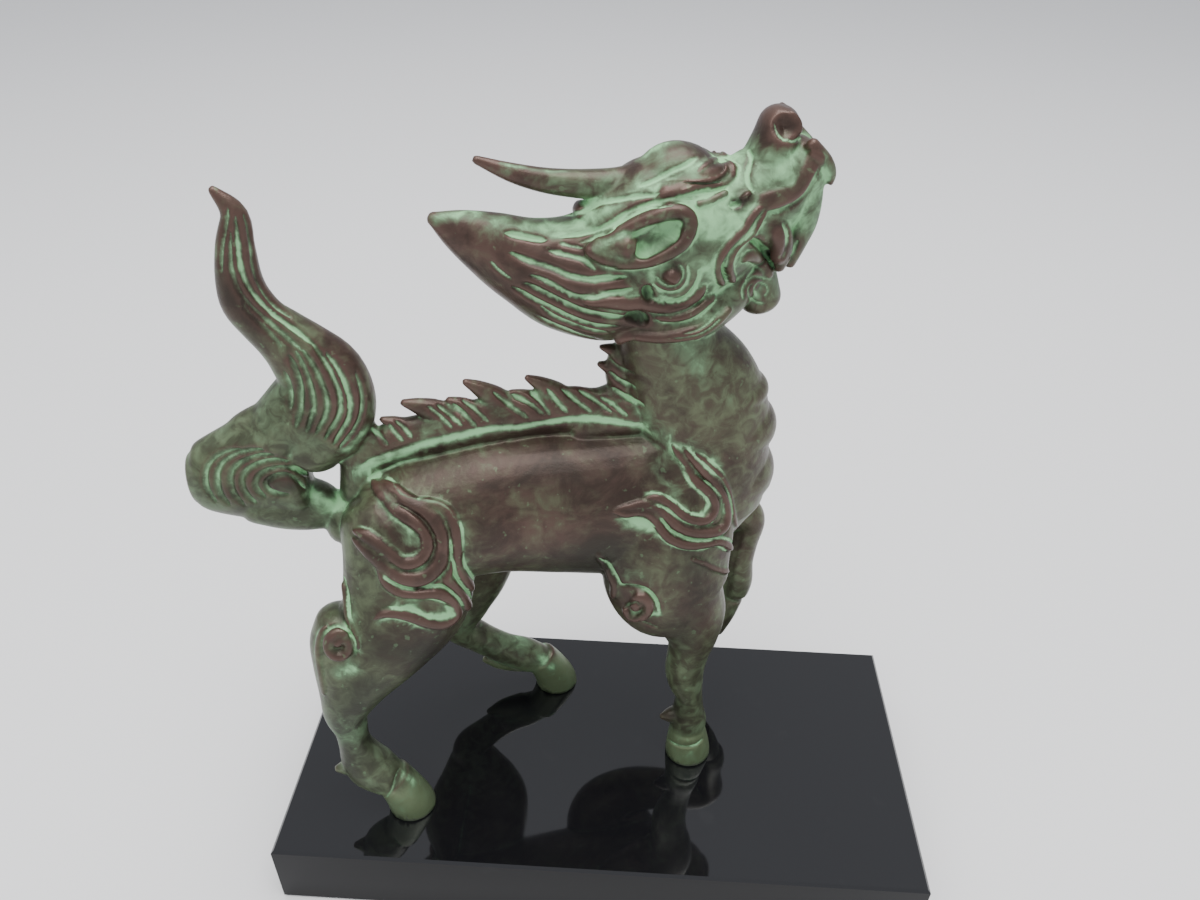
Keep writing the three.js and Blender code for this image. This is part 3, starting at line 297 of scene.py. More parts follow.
# Furrows: half width, depth, how green they are, and line
FURROWS = [
    # Between the bands of the haunch
    (0.8, 0.9, 0.22, [397, 505, 403, 507, 410, 510.5, 418, 516, 424, 522, 430, 530, 434, 538, 434, 547,
        431, 555, 427, 561, 421, 566, 413, 569.5, 405, 570, 399, 568, 394, 564, 390, 560]),
    (0.8, 0.9, 0.22, [444, 521, 448, 531, 450, 541, 450, 551, 449, 560, 447, 568, 444, 573, 439, 578,
        433, 582.5, 427, 586, 420, 588, 412, 588.5, 404, 587, 398, 584, 391, 579, 386, 574]),
    (0.8, 0.9, 0.22, [449, 536, 451, 546, 452, 560, 454, 571, 458, 580, 463, 586, 468, 592, 472, 600]),
    (0.9, 0.9, 0.22, [420, 588, 430, 587.5, 440, 586, 448, 589, 455, 595, 460, 602, 463, 609]),
    # Between the bands of the shoulder
    (0.6, 0.7, 0.22, [688, 458, 694, 467, 700, 475, 706, 482, 712, 488, 718, 496, 722, 506, 723, 517]),
    (0.6, 0.7, 0.22, [723, 517, 718, 525, 708, 527, 698, 527.5, 690, 526, 682, 522, 676, 517, 670, 511,
        663, 506, 655, 503, 648, 504]),
    (0.7, 0.8, 0.22, [658, 516, 663, 522, 668, 529, 674, 534, 682, 538, 692, 540, 702, 540, 712, 538.5,
        719, 536.5, 725, 532, 729, 526, 730, 517, 730, 509, 728.5, 500, 725, 489, 719, 480]),
    (0.6, 0.7, 0.22, [719, 537, 727, 539, 732, 543, 736, 549]),
    # Elbow and hock coils
    (0.7, 0.9, 0.45, [640, 606, 636, 603, 629, 604, 625, 608]),
    (0.7, 1.0, 0.45, [598, 556, 606, 561, 612, 569, 617, 578, 621, 585, 629, 586, 638, 587, 647, 590,
        654, 597, 658, 605, 659, 614]),
    (0.7, 0.8, 0.45, [640, 621, 650, 625, 658, 628]),
    (0.6, 0.8, 0.45, [341, 566, 344, 577, 347, 590, 349, 604, 350, 617]),
    (0.8, 0.9, 0.45, [322, 641, 326, 632, 335, 626, 345, 628, 353, 636, 356, 648, 354, 658]),
    # Mane
    (1.3, 1.0, 0.8, [506, 233, 518, 235, 532, 238, 546, 240]),
    (1.1, 0.9, 0.8, [548, 250, 560, 253, 572, 256, 582, 259, 590, 265, 596, 271]),
    (1.5, 1.3, 0.8, [509, 252, 520, 257, 532, 262, 545, 266, 556, 270, 566, 275, 578, 278, 590, 280,
        602, 279, 614, 278, 626, 277]),
    (1.3, 1.2, 0.8, [529, 275, 542, 280, 552, 285, 562, 291, 572, 296, 584, 298, 596, 297, 608, 294,
        622, 292, 634, 289]),
    (1.3, 1.2, 0.8, [521, 283, 532, 287, 542, 292, 552, 297, 562, 302, 572, 307, 585, 312, 598, 315,
        612, 317, 627, 318]),
    (1.2, 1.1, 0.8, [511, 287, 522, 293, 532, 299, 542, 304, 552, 309, 560, 313, 568, 317, 578, 321,
        590, 325, 602, 327, 618, 327]),
    (1.1, 1.0, 0.8, [540, 307, 552, 316, 565, 322, 578, 327, 592, 331, 608, 333]),
    (0.8, 0.6, 0.8, [490, 261, 496, 268, 503, 274, 512, 280]),
    (1.0, 0.8, 0.8, [536, 316, 550, 323, 565, 329, 580, 335, 598, 340]),
    (0.7, 0.6, 0.8, [560, 243, 572, 246, 583, 248]),
    # Long hair between horn and ear
    (0.9, 0.6, 0.5, [562, 216, 580, 212, 600, 203, 620, 199, 640, 196, 660, 195]),
    (0.9, 0.7, 0.5, [560, 237, 580, 234, 600, 229, 615, 221, 630, 211, 650, 204, 670, 200, 692, 199]),
    (0.8, 0.6, 0.5, [580, 243, 596, 237, 610, 231, 622, 222, 636, 213, 652, 208, 672, 205]),
    (0.9, 0.6, 0.5, [640, 186, 655, 180, 670, 172, 686, 165, 698, 157]),
    # Cheek rings
    (0.7, 0.7, 0.6, [679, 264, 683, 270, 683, 278, 677, 285, 669, 287, 661, 283, 656, 276]),
    (0.7, 0.7, 0.6, [687, 265, 689, 274, 687, 283, 680, 291, 669, 293, 659, 290, 652, 284]),
    (0.8, 0.8, 0.6, [700, 268, 699, 278, 695, 287, 687, 296, 676, 301, 664, 302, 652, 299, 641, 297]),
    (0.8, 0.7, 0.6, [645, 312, 657, 314, 670, 314, 682, 311, 692, 306, 701, 298, 709, 289]),
    (0.8, 0.7, 0.6, [655, 320, 668, 323, 682, 322, 696, 317, 707, 309, 717, 299]),
    # Jaw tuft
    (0.6, 0.6, 0.6, [683, 334, 695, 331, 706, 325, 716, 316]),
    (0.6, 0.6, 0.6, [672, 339, 686, 338, 699, 335, 710, 329, 722, 318]),
    # Eye
    (0.5, 0.7, 0.2, [687, 186, 701, 186, 711, 184, 721, 181]),
    (0.7, 0.8, 0.6, [656, 202, 674, 199, 690, 195, 704, 191, 717, 190, 728, 187]),
    (1.0, 1.4, 0.0, [730, 206, 737, 204, 742, 201]),
    # Muzzle, nostril and mouth
    (0.8, 0.7, 0.5, [748, 150, 751, 158, 749, 167, 747, 176, 749, 185, 754, 193]),
    (0.6, 0.7, 0.9, [773, 122, 774, 130, 779, 137, 786, 141, 795, 141, 802, 137]),
    (1.0, 1.4, 0.5, [722, 262, 723, 270, 726, 279]),
    (0.9, 0.9, 0.5, [762, 211, 757, 219, 752, 228, 747, 236, 739, 242, 732, 249, 728, 257, 726, 267]),
    (1.3, 2.6, 0.5, [750, 240, 757, 243, 764, 250, 770, 261, 774, 270]),
    (1.0, 0.9, 0.5, [768, 212, 778, 211, 788, 206, 797, 201, 806, 192, 813, 180, 818, 168]),
    (1.0, 0.9, 0.5, [783, 222, 787, 234, 786, 246, 782, 258]),
    (0.8, 0.7, 0.5, [798, 240, 794, 250, 789, 260]),
    # Beard
    (0.9, 0.9, 0.25, [746, 280, 753, 272, 758, 264, 763, 259]),
    (0.8, 0.8, 0.25, [744, 300, 743, 290, 747, 282, 755, 277, 765, 279]),
    (0.6, 0.6, 0.25, [756, 296, 755, 288, 760, 283, 767, 286, 768, 293, 763, 297]),
    (0.6, 0.6, 0.25, [765, 303, 757, 303, 750, 298, 749, 289, 753, 283]),
    # Tail curl
    (1.35, 1.3, 0.3, [306, 488, 298, 479, 286, 475, 274, 477, 266, 483, 268, 490, 277, 494, 289, 495]),
    (1.35, 1.3, 0.3, [308, 474, 297, 470, 284, 468, 270, 470, 260, 475, 256, 483, 258, 491, 266, 498]),
    (1.35, 1.3, 0.3, [290, 462, 275, 461, 262, 463, 250, 468, 243, 476, 242, 486, 247, 496, 257, 504]),
    (1.35, 1.3, 0.3, [276, 456, 260, 456, 246, 460, 236, 466, 231, 475, 231, 486, 235, 496, 244, 506]),
    (1.35, 1.3, 0.3, [264, 450, 250, 451, 236, 454, 224, 461, 218, 470, 217, 482, 220, 494, 229, 505]),
    (1.2, 1.1, 0.3, [240, 449, 226, 452, 214, 458, 207, 467, 205, 479, 208, 491, 216, 502]),
    # Tail stem
    (1.1, 0.9, 0.4, [284, 372, 289, 385, 291, 397, 290, 410]),
    (1.35, 1.25, 0.4, [288, 355, 294, 366, 299, 380, 301, 394, 300, 412, 296, 428]),
    (1.35, 1.25, 0.4, [296, 352, 303, 366, 309, 382, 313, 398, 313, 413, 307, 432]),
    (1.35, 1.25, 0.4, [303, 350, 312, 364, 320, 380, 327, 400, 326, 416, 316, 434]),
    (1.4, 1.3, 0.4, [314, 346, 326, 362, 335, 380, 341, 400, 339, 418, 325, 440]),
    (1.5, 1.3, 0.5, [326, 352, 338, 368, 347, 388, 351, 404, 349, 421, 334, 445]),
    (1.1, 0.9, 0.45, [356, 372, 361, 386, 363, 400, 361, 416, 354, 431, 340, 448]),
    (1.1, 0.9, 0.4, [230, 232, 230, 250, 231, 268, 236, 284, 243, 297, 252, 307, 263, 317, 275, 327,
        290, 340, 303, 352]),
    (1.2, 1.0, 0.6, [235, 216, 237, 234, 239, 254, 242, 270, 248, 285, 257, 298, 270, 311, 286, 323,
        302, 335, 318, 348]),
    (0.9, 0.7, 0.35, [228, 208, 226, 224, 223, 240, 221, 256, 221, 272]),
    (0.9, 0.7, 0.35, [240, 299, 247, 311, 258, 322, 271, 334, 282, 348]),
    (0.9, 0.7, 0.35, [244, 214, 249, 232, 252, 252, 254, 270, 262, 290, 275, 306, 292, 318]),
    # Comb along the spine
    (1.0, 0.9, 0.28, [372, 428, 380, 436, 388, 446]),
    (1.1, 1.0, 0.28, [396, 420, 405, 429, 412, 438]),
    (1.0, 0.9, 0.28, [388, 424, 396, 434, 403, 442]),
    (1.0, 0.9, 0.28, [428, 406, 440, 416, 452, 428]),
    (1.1, 1.0, 0.28, [437, 404, 449, 414, 462, 426]),
    (1.1, 1.0, 0.28, [452, 404, 463, 413, 477, 428]),
    (1.1, 1.0, 0.28, [462, 398, 474, 408, 488, 422]),
    (1.2, 1.1, 0.28, [494, 392, 510, 405, 528, 419]),
    (1.2, 1.1, 0.28, [512, 394, 530, 403, 545, 416]),
    (1.2, 1.1, 0.28, [530, 391, 540, 401, 550, 416]),
    (1.1, 1.0, 0.28, [547, 389, 556, 400, 568, 413]),
    (1.1, 1.0, 0.28, [562, 388, 576, 400, 592, 413]),
    (1.0, 0.9, 0.28, [578, 389, 594, 399, 611, 412]),
    (1.0, 0.9, 0.28, [600, 397, 614, 405, 628, 417]),
    (1.1, 1.0, 0.28, [608, 372, 620, 381, 636, 389]),
    (1.1, 1.0, 0.28, [612, 388, 626, 397, 644, 406]),
    (0.8, 0.7, 0.28, [606, 356, 618, 367, 634, 374]),
    (1.6, 0.4, 0.28, [362, 466, 375, 458, 392, 453, 410, 447, 425, 443, 440, 439, 455, 436, 470, 432,
        485, 429, 500, 427, 515, 428, 530, 425, 550, 422, 570, 419, 590, 418, 610, 421, 625, 424,
        642, 424]),
    # Pasterns and hooves
    (0.8, 0.7, 0.5, [664, 735, 672, 743, 684, 747, 696, 745, 704, 738]),
    (0.8, 0.7, 0.5, [400, 768, 396, 778, 392, 790, 386, 798]),
]

# Patches that hands have rubbed brown: radius, strength and line
RUBBED = [
    (3.6, 0.7, [622, 172, 645, 164, 668, 154, 690, 148, 702, 151]),
    (13.0, 1.0, [490, 475, 530, 462, 575, 462, 615, 480]),
    (12.0, 0.9, [520, 530, 570, 535, 610, 520]),
    (7.0, 0.7, [385, 650, 400, 640]),
    (2.6, 0.8, [374, 488, 390, 507, 412, 520, 426, 534, 426, 552, 412, 563, 394, 558, 370, 538, 354, 530]),
    (3.0, 0.9, [384, 485, 404, 502, 428, 513, 440, 532, 441, 555, 428, 575, 408, 579, 388, 568, 362, 545]),
    (2.2, 0.8, [384, 578, 400, 592, 430, 594, 452, 602, 456, 614, 440, 624, 410, 616, 380, 614]),
    (2.0, 0.8, [680, 456, 694, 478, 712, 496, 712, 515, 694, 521, 672, 506, 648, 499]),
    (2.4, 0.9, [692, 458, 709, 477, 723, 497, 726, 518, 712, 532, 688, 530, 662, 512, 630, 507]),
    (2.0, 0.8, [626, 513, 650, 514, 668, 536, 690, 545, 716, 542, 732, 551]),
    (6.0, 0.7, [690, 590, 700, 620]),
    (3.0, 0.8, [630, 598, 644, 600, 648, 610]),
    (3.0, 0.8, [334, 640, 346, 648, 340, 656]),
    (5.0, 0.7, [232, 300, 255, 330, 275, 360]),
    (4.0, 0.6, [300, 310, 330, 335, 355, 360]),
    (4.0, 0.9, [436, 222, 470, 235, 500, 262]),
    (3.0, 0.35, [484, 166, 520, 178, 560, 184, 590, 186]),
    (3.2, 0.9, [666, 192, 690, 184, 712, 176, 726, 171]),
    (8.0, 1.0, [778, 112, 782, 122]),
    (3.4, 0.95, [806, 142, 814, 152, 810, 170, 802, 188, 790, 198, 768, 202]),
    (2.6, 0.7, [762, 207, 750, 224, 738, 238, 726, 252]),
    (3.0, 0.9, [774, 226, 779, 244, 776, 258]),
    (5.0, 0.4, [758, 292, 760, 300]),
    (3.0, 0.95, [671, 275, 673, 277]),
    (2.6, 0.35, [592, 250, 614, 238, 642, 222, 672, 212, 688, 222, 680, 244, 650, 260, 616, 260, 592, 252]),
    (2.2, 0.8, [600, 301, 630, 303, 655, 308, 680, 308, 696, 298]),
    (2.4, 0.9, [618, 338, 640, 333, 665, 334, 692, 332]),
    (2.4, 0.7, [745, 196, 748, 198]),
    (2.2, 0.7, [602, 216, 616, 209, 630, 204]),
    (3.0, 0.9, [525, 240, 546, 245, 568, 246, 584, 250]),
    (3.0, 0.9, [511, 246, 531, 252, 550, 260, 572, 266, 589, 270]),
    (2.2, 0.9, [536, 268, 554, 274, 572, 284, 590, 288, 618, 286]),
    (2.2, 0.9, [534, 281, 551, 288, 570, 298, 590, 304, 620, 305]),
    (2.2, 0.9, [528, 289, 546, 297, 566, 308, 592, 318]),
    (3.2, 0.8, [516, 296, 538, 308, 561, 319, 582, 328]),
]

# Patches where the green lies thick: radius, strength and line
WASHES = [
    (0.9, 0.9, [670, 444, 677, 455, 682, 465, 687, 477, 692, 485, 700, 491, 706, 498, 708, 505, 702, 513]),
    (0.75, 0.9, [641, 495, 650, 492, 660, 494, 670, 499, 680, 506, 690, 513, 702, 515]),
    (2.4, 0.45, [656, 470, 668, 484, 682, 496]),
    (0.65, 0.95, [660, 430, 667, 433, 680, 442, 691, 451, 701, 460, 711, 470, 721, 477, 727, 489,
        730, 500, 731, 512, 730, 522]),
    (3.0, 0.55, [690, 444, 706, 456, 720, 470]),
    (0.6, 0.8, [724, 512, 722, 502, 719, 495, 712, 487, 705, 481]),
    (0.6, 0.8, [649, 506, 657, 505, 667, 509, 675, 515, 682, 520, 690, 523, 702, 524, 712, 522]),
    (0.8, 0.9, [662, 519, 667, 526, 672, 531, 682, 536, 692, 540, 707, 540, 714, 537, 724, 539, 731, 541,
        735, 546]),
    (0.65, 0.9, [659, 535, 667, 542, 677, 547, 687, 549, 702, 549, 710, 546, 717, 545, 725, 550]),
    (2.6, 0.8, [626, 524, 638, 524, 650, 529]),
    (0.65, 0.95, [622, 519, 634, 518, 645, 520, 655, 526]),
    (1.5, 0.5, [722, 558, 729, 566]),
    (0.75, 0.9, [597, 555, 607, 562, 612, 569, 616, 576, 620, 584, 630, 584, 642, 586, 650, 591, 656, 599,
        659, 609, 660, 617]),
    (1.6, 0.8, [650, 614, 657, 614]),
    (4.2, 0.45, [614, 566, 630, 576, 646, 586]),
    (0.65, 0.95, [370, 478, 379, 475, 388, 478, 393, 482, 399, 490, 405, 496, 414, 499, 425, 500,
        437, 502, 445, 505, 450, 510, 455, 518, 461, 527, 462, 540, 462, 555, 464, 564, 469, 573,
        474, 580, 478, 589]),
    (0.6, 0.9, [450, 540, 453, 560, 454, 569, 458, 578, 462, 585, 468, 591, 472, 598]),
    (0.6, 0.9, [424, 587, 432, 587, 440, 586, 447, 588, 452, 592, 458, 598, 462, 605]),
    (0.7, 0.9, [385, 575, 392, 581, 400, 585, 410, 588]),
    (0.65, 0.6, [360, 525, 374, 532, 388, 545, 399, 554, 412, 555, 419, 551, 422, 544, 420, 536, 408, 524]),
    (2.6, 0.4, [404, 524, 412, 534, 412, 546]),
    (1.3, 1.0, [451, 607, 452, 613, 441, 617, 430, 615]),
    (0.6, 0.9, [446, 603, 432, 599, 417, 597]),
    (0.9, 0.9, [392, 608, 405, 608, 419, 612, 430, 617]),
    (0.7, 0.7, [378, 623, 390, 618, 408, 622, 425, 630, 441, 633, 456, 627]),
    (0.6, 0.9, [339, 567, 343, 575, 347, 588, 348, 604, 350, 617, 352, 628]),
    (2.2, 0.35, [345, 580, 352, 600, 356, 620]),
    (1.8, 0.6, [314, 643, 320, 632, 333, 626, 346, 628, 355, 638, 359, 651]),
    (1.0, 0.7, [315, 650, 317, 665, 320, 680, 324, 700]),
    (3.2, 0.6, [340, 672, 355, 668]),
    (2.2, 0.85, [352, 474, 375, 463, 400, 455, 425, 446, 455, 438, 490, 430]),
    (1.8, 0.8, [490, 430, 530, 426, 550, 422, 590, 419, 620, 422, 645, 427]),
    (3.4, 0.55, [645, 427, 660, 436, 674, 446]),
    (4.0, 0.35, [620, 400, 640, 410, 655, 420]),
    (3.4, 0.7, [340, 490, 332, 504, 318, 498]),
    (2.6, 0.8, [346, 450, 356, 440, 366, 430]),
    (3.2, 0.9, [432, 216, 460, 213, 499, 211, 530, 214, 554, 219]),
    (1.0, 0.8, [500, 163, 520, 167, 545, 171, 568, 171]),
    (1.6, 0.7, [580, 206, 609, 199, 637, 189, 666, 176]),
    (1.6, 0.8, [550, 236, 575, 232, 600, 226, 622, 216]),
    (1.6, 0.9, [651, 274, 657, 292, 671, 299, 686, 296, 696, 285, 703, 269]),
    (0.9, 0.9, [755, 165, 760, 180, 770, 188]),
    (3.0, 0.8, [790, 225, 786, 240, 798, 215]),
    (3.0, 0.8, [305, 488, 322, 498, 338, 506]),
    (3.0, 0.7, [700, 742, 690, 752]),
    (3.0, 0.8, [544, 660, 552, 668]),
    (2.6, 0.7, [404, 774, 414, 782]),
    (3.6, 0.8, [572, 206, 580, 203, 590, 206]),
    (6.0, 0.42, [640, 160, 680, 148, 704, 156]),
    (4.0, 0.5, [590, 184, 622, 180]),
    (3.6, 0.7, [592, 216, 622, 201, 660, 187]),
    (4.5, 0.75, [498, 222, 540, 228, 580, 226]),
    (3.0, 0.52, [484, 168, 520, 176, 560, 184, 590, 190]),
    (2.4, 0.66, [592, 250, 614, 238, 642, 222, 672, 212, 688, 222, 680, 244]),
    (5.0, 0.55, [756, 286, 760, 302]),
    (4.5, 0.35, [222, 196, 238, 215, 244, 245]),
    (4.0, 0.6, [385, 505, 398, 522, 410, 540]),
    (4.0, 0.3, [660, 460, 676, 485, 692, 500]),
    (7.0, 0.48, [545, 590, 530, 625, 520, 650]),
    (8.0, 0.3, [680, 345, 700, 365, 720, 380]),
]

# Painted shade: patches darkened where less light falls, on the lower body, the legs, the tail and in deep
# hollows: radius, strength and line
PAINTED_SHADE_PATCHES = [
    (14.0, 1.0, [470, 600, 530, 588, 600, 560]),
    (10.0, 1.0, [385, 650, 425, 655, 415, 690]),
    (10.0, 0.95, [365, 690, 350, 720, 352, 765]),
    (8.0, 0.75, [650, 640, 660, 680, 675, 715]),
    (8.0, 0.7, [690, 570, 695, 610, 680, 640]),
    (9.0, 0.5, [225, 503, 280, 512, 335, 516]),
    (6.0, 0.4, [290, 395, 312, 425, 300, 450]),
    (3.0, 0.8, [268, 483, 280, 486, 294, 486]),
    (12.0, 0.35, [470, 470, 530, 460, 590, 465]),
    (9.0, 0.35, [375, 560, 365, 600]),
    (5.0, 0.5, [215, 275, 235, 310, 262, 345]),
    (3.0, 0.7, [341, 606, 341, 617]),
    (2.6, 1.0, [633, 318, 641, 320]),
    (1.8, 1.0, [647, 291, 649, 296]),
    (3.4, 0.6, [646, 248, 658, 240, 670, 232]),
    (3.0, 0.9, [731, 206, 738, 203]),
    (5.0, 0.5, [640, 440, 660, 460, 672, 470]),
]

# Reach of the averages that find hollows and ridges, and of the green's halo along its lines
NEAR_REACH = 1.1
WIDE_REACH = 2.6
HALO_REACH = 1.5

# Name of the node group that both materials share
GRAIN = "Casting grain"

# Longest gap between points of one line, past which it has leapt to another limb
LEAP = 7


def curve_points(points, spans):
    """Points on a smooth curve through the given ones, as rows of numbers."""
    p = np.array(points, float)
    p = np.vstack([2 * p[0] - p[1], p, 2 * p[-1] - p[-2]])
    t = np.linspace(0, len(points) - 1, spans * (len(points) - 1) + 1)
    i = np.minimum(t.astype(int), len(points) - 2)
    w = (t - i)[:, None]
    a, b, c, d = p[i], p[i + 1], p[i + 2], p[i + 3]
    return b + 0.5 * w * (c - a + w * (2 * a - 5 * b + 4 * c - d + w * (3 * (b - c) + d - a)))


def mirrored(stations):
    """The same stations on the figure's other side."""
    return [(x, -y, z, h, w) for x, y, z, h, w in stations]


def add_loft(solid, stations, sides=36, step=1.4, cap=0.7, cap_rings=5):
    """Adds a closed oval body through stations to a mesh, ring after bridged ring."""
    centres = curve_points([s[:3] for s in stations], 12)
    length = np.linalg.norm(np.diff(centres, axis=0), axis=1).sum()
    spans = max(2, round(length / step / (len(stations) - 1)))
    centres = curve_points([s[:3] for s in stations], spans)
    sizes = curve_points([s[3:] for s in stations], spans)
    tangents = np.gradient(centres, axis=0)
    rings = []

    def ring(i, push, share):
        tangent = Vector(tangents[i]).normalized()
        across = (Vector((0, 1, 0)) - tangent * tangent.y).normalized()
        upright = across.cross(tangent)
        high, wide = sizes[i]
        centre = Vector(centres[i]) + tangent * push * cap * high
        columns = (across * wide * share, upright * high * share, tangent, centre)
        rings.append(Matrix([[*row] for row in zip(*columns)] + [[0, 0, 0, 1]]))

    turns = [k / cap_rings * math.pi / 2 for k in range(1, cap_rings)]
    for turn in turns:
        ring(0, -math.cos(turn), math.sin(turn))
    for i in range(len(centres)):
        ring(i, 0, 1)
    for turn in reversed(turns):
        ring(-1, math.cos(turn), math.sin(turn))
    join_rings(solid, rings, sides)


def join_rings(solid, rings, sides):
    """Adds the closed body through a row of rings, each a matrix that shapes and sets a unit circle."""
    part = bmesh.new()
    last = None
    for i, matrix in enumerate(rings):
        closed = i in (0, len(rings) - 1)
        made = bmesh.ops.create_circle(part, cap_ends=closed, radius=1, segments=sides, matrix=matrix)
        edges = list(dict.fromkeys(e for v in made["verts"] for e in v.link_edges))
        if last:
            bmesh.ops.bridge_loops(part, edges=last + edges)
        last = edges
    bmesh.ops.recalc_face_normals(part, faces=part.faces)
    keep(solid, part)


def keep(solid, part):
    """Moves a part's mesh into the solid's."""
    mesh = bpy.data.meshes.new("part")
    part.to_mesh(mesh)
    part.free()
    solid.from_mesh(mesh)
    bpy.data.meshes.remove(mesh)


def add_cord(solid, stations, sides=16, step=0.9):
    """A slim loft with rounder ends."""
    add_loft(solid, stations, sides, step, cap=0.9, cap_rings=3)


def spike_stations(tip_x, tip_z, root_x, root_z, half):
    """A spike that leans back, fuller on its front edge."""
    run_x, run_z = tip_x - root_x, tip_z - root_z
    bow = math.hypot(run_x, run_z) * SPIKE_BOW
    shares = [(0, 1, 1), (0.4, 1.15, 0.95), (0.75, 0.75, 0.65), (1, 0.3, 0.35)]
    return [
        (root_x + run_x * s + bow * math.sin(math.pi * s), 0,
         root_z + run_z * s + bow * math.sin(math.pi * s), half * high, SPIKE_WIDTH * wide)
        for s, high, wide in shares
    ]


def add_masses(solid):
    """The body, head, tail and legs, before anything is laid on them."""
    for stations in (TRUNK, NECK, SKULL, JAW, MANE):
        add_loft(solid, stations, 44)
    for stations in (BROW, HORN, HORN_LOCK, BEARD, TAIL_STEM, TAIL_BEND, TAIL_ROOT, TAIL_WEB,
                     COMB, WITHERS):
        add_loft(solid, stations, 32)
    add_loft(solid, NOSE, 32, cap=1)
    add_loft(solid, CHIN, 28, cap=0.3)
    add_loft(solid, TAIL_LOBE, 40, cap=0.2)
    for stations in (HIND_NEAR, HIND_FAR, FORE_NEAR, FORE_FAR, HOCK_NEAR, HOCK_FAR):
        add_loft(solid, stations, 32)
    for stations in (HIND_NEAR_HOOF, HIND_FAR_HOOF, FORE_NEAR_HOOF, FORE_FAR_HOOF):
        add_loft(solid, stations, 32, cap=0.2)


def add_fittings(solid):
    """Spikes, neck plates, tufts, whiskers and tusks."""
    for spike in SPIKES:
        add_cord(solid, spike_stations(*spike), 16)
    for x, z, reach, height in PLATES:
        depth = reach * PLATE_DEPTH
        place = Matrix.Translation((x - depth, 0, z)) @ Matrix.Diagonal((depth, reach, height / 2, 1))
        part = bmesh.new()
        bmesh.ops.create_uvsphere(part, u_segments=40, v_segments=20, radius=1, matrix=place)
        keep(solid, part)
    for tuft in TUFTS:
        add_cord(solid, tuft)
    for stations in (WHISKER, TUSK):
        add_cord(solid, stations)
        add_cord(solid, mirrored(stations))


def camera_axes():
    """The camera's right, up and forward directions in the row frame."""
    sp, cp = math.sin(CAMERA_PITCH), math.cos(CAMERA_PITCH)
    sy, cy = math.sin(CAMERA_YAW), math.cos(CAMERA_YAW)
    forward = Vector((sy * cp, cy * cp, -sp))
    level = Vector((cy, -sy, 0))
    upward = level.cross(forward)
    sr, cr = math.sin(CAMERA_ROLL), math.cos(CAMERA_ROLL)
    return level * cr + upward * sr, upward * cr - level * sr, forward


def longest_run(line):
    """The longest stretch of a line that never leaps to another limb."""
    runs = [[]]
    for point in line:
        if runs[-1] and (point[0] - runs[-1][-1][0]).length > LEAP:
            runs.append([])
        runs[-1].append(point)
    return max(runs, key=len)


class Skin:
    """A surface that lines of the photograph are laid on."""

    def __init__(self, mesh):
        vertices = [v.co for v in mesh.vertices]
        self.tree = BVHTree.FromPolygons(vertices, [tuple(p.vertices) for p in mesh.polygons])
        self.back = Matrix.Rotation(-TURN, 3, "Z")
        self.eye = self.back @ (CAMERA_PLACE - PLACE)
        self.axes = camera_axes()
        self.focus = CAMERA_LENS / SENSOR * PICTURE[0]

    def seen(self, x, y):
        """Where the camera's line through a pixel first meets the surface, and the normal there."""
        right, up, forward = self.axes
        aside = (x - PICTURE[0] / 2) / self.focus
        below = (y - PICTURE[1] / 2) / self.focus
        aim = right * aside - up * below + forward
        place, normal, _, _ = self.tree.ray_cast(self.eye, (self.back @ aim).normalized())
        return place, normal

    def across(self, place):
        """The place at the same height and length on the far flank."""
        start = Vector((place.x, 120, place.z))
        found, normal, _, _ = self.tree.ray_cast(start, Vector((0, -1, 0)))
        if found is None or found.y < 1:
            return None, None
        return found, normal

    def lines(self, pixels, spans=4):
        """The line on the near flank and its fellow on the far one, as lists of place and normal."""
        near = [self.seen(*p) for p in curve_points(np.reshape(pixels, (-1, 2)), spans)]
        near = longest_run([(p, n) for p, n in near if p is not None])
        far = [self.across(p) for p, _ in near]
        far = longest_run([(p, n) for p, n in far if p is not None])
        return [line for line in (near, far) if len(line) > 1]


def add_strands(solid, skin):
    """Ear rims, coils and tufts, which stand well proud of the skin."""
    for lift, start, end, pixels in STRANDS:
        for line in skin.lines(pixels, 3):
            shares = np.linspace(0, 1, len(line))
            places = [place + normal * lift for place, normal in line]
            add_strand(solid, places, [start + (end - start) * s for s in shares])


def add_strand(solid, places, halves, sides=14, tip=0.6):
    """A round cord in any direction, each ring square to its line, with blunt ends."""
    tangents = [Vector(t).normalized() for t in np.gradient(np.array(places, float), axis=0)]
    rings = [
        (place, tangent, half) for place, tangent, half in zip(places, tangents, halves)]
    for at, way in ((0, -1), (-1, 1)):
        place, tangent, half = rings[at]
        blunt = (place + tangent * half * tip * way, tangent, half * tip)
        rings = [blunt] + rings if at == 0 else rings + [blunt]
    join_rings(solid, [
        Matrix.Translation(place) @ tangent.to_track_quat("Z", "Y").to_matrix().to_4x4()
        @ Matrix.Scale(half, 4) for place, tangent, half in rings], sides)


def mesh_from(solid, name):
    """A new mesh datablock with what the solid holds."""
    mesh = bpy.data.meshes.new(name)
    solid.to_mesh(mesh)
    return mesh


def with_modifiers(mesh, name, *settings):
    """A copy of a mesh with modifiers applied, each given as its type and values."""
    holder = bpy.data.objects.new(name, mesh)
    bpy.context.scene.collection.objects.link(holder)
    for kind, values in settings:
        modifier = holder.modifiers.new(kind.lower(), kind)
        for key, value in values.items():
            setattr(modifier, key, value)
    bpy.context.view_layer.update()
    done = bpy.data.meshes.new_from_object(holder.evaluated_get(bpy.context.evaluated_depsgraph_get()))
    bpy.data.objects.remove(holder)
    return done


def read_points(mesh):
    """The vertices' places, as rows."""
    co = np.zeros(len(mesh.vertices) * 3, np.float32)
    mesh.vertices.foreach_get("co", co)
    return co.reshape(-1, 3).astype(float)


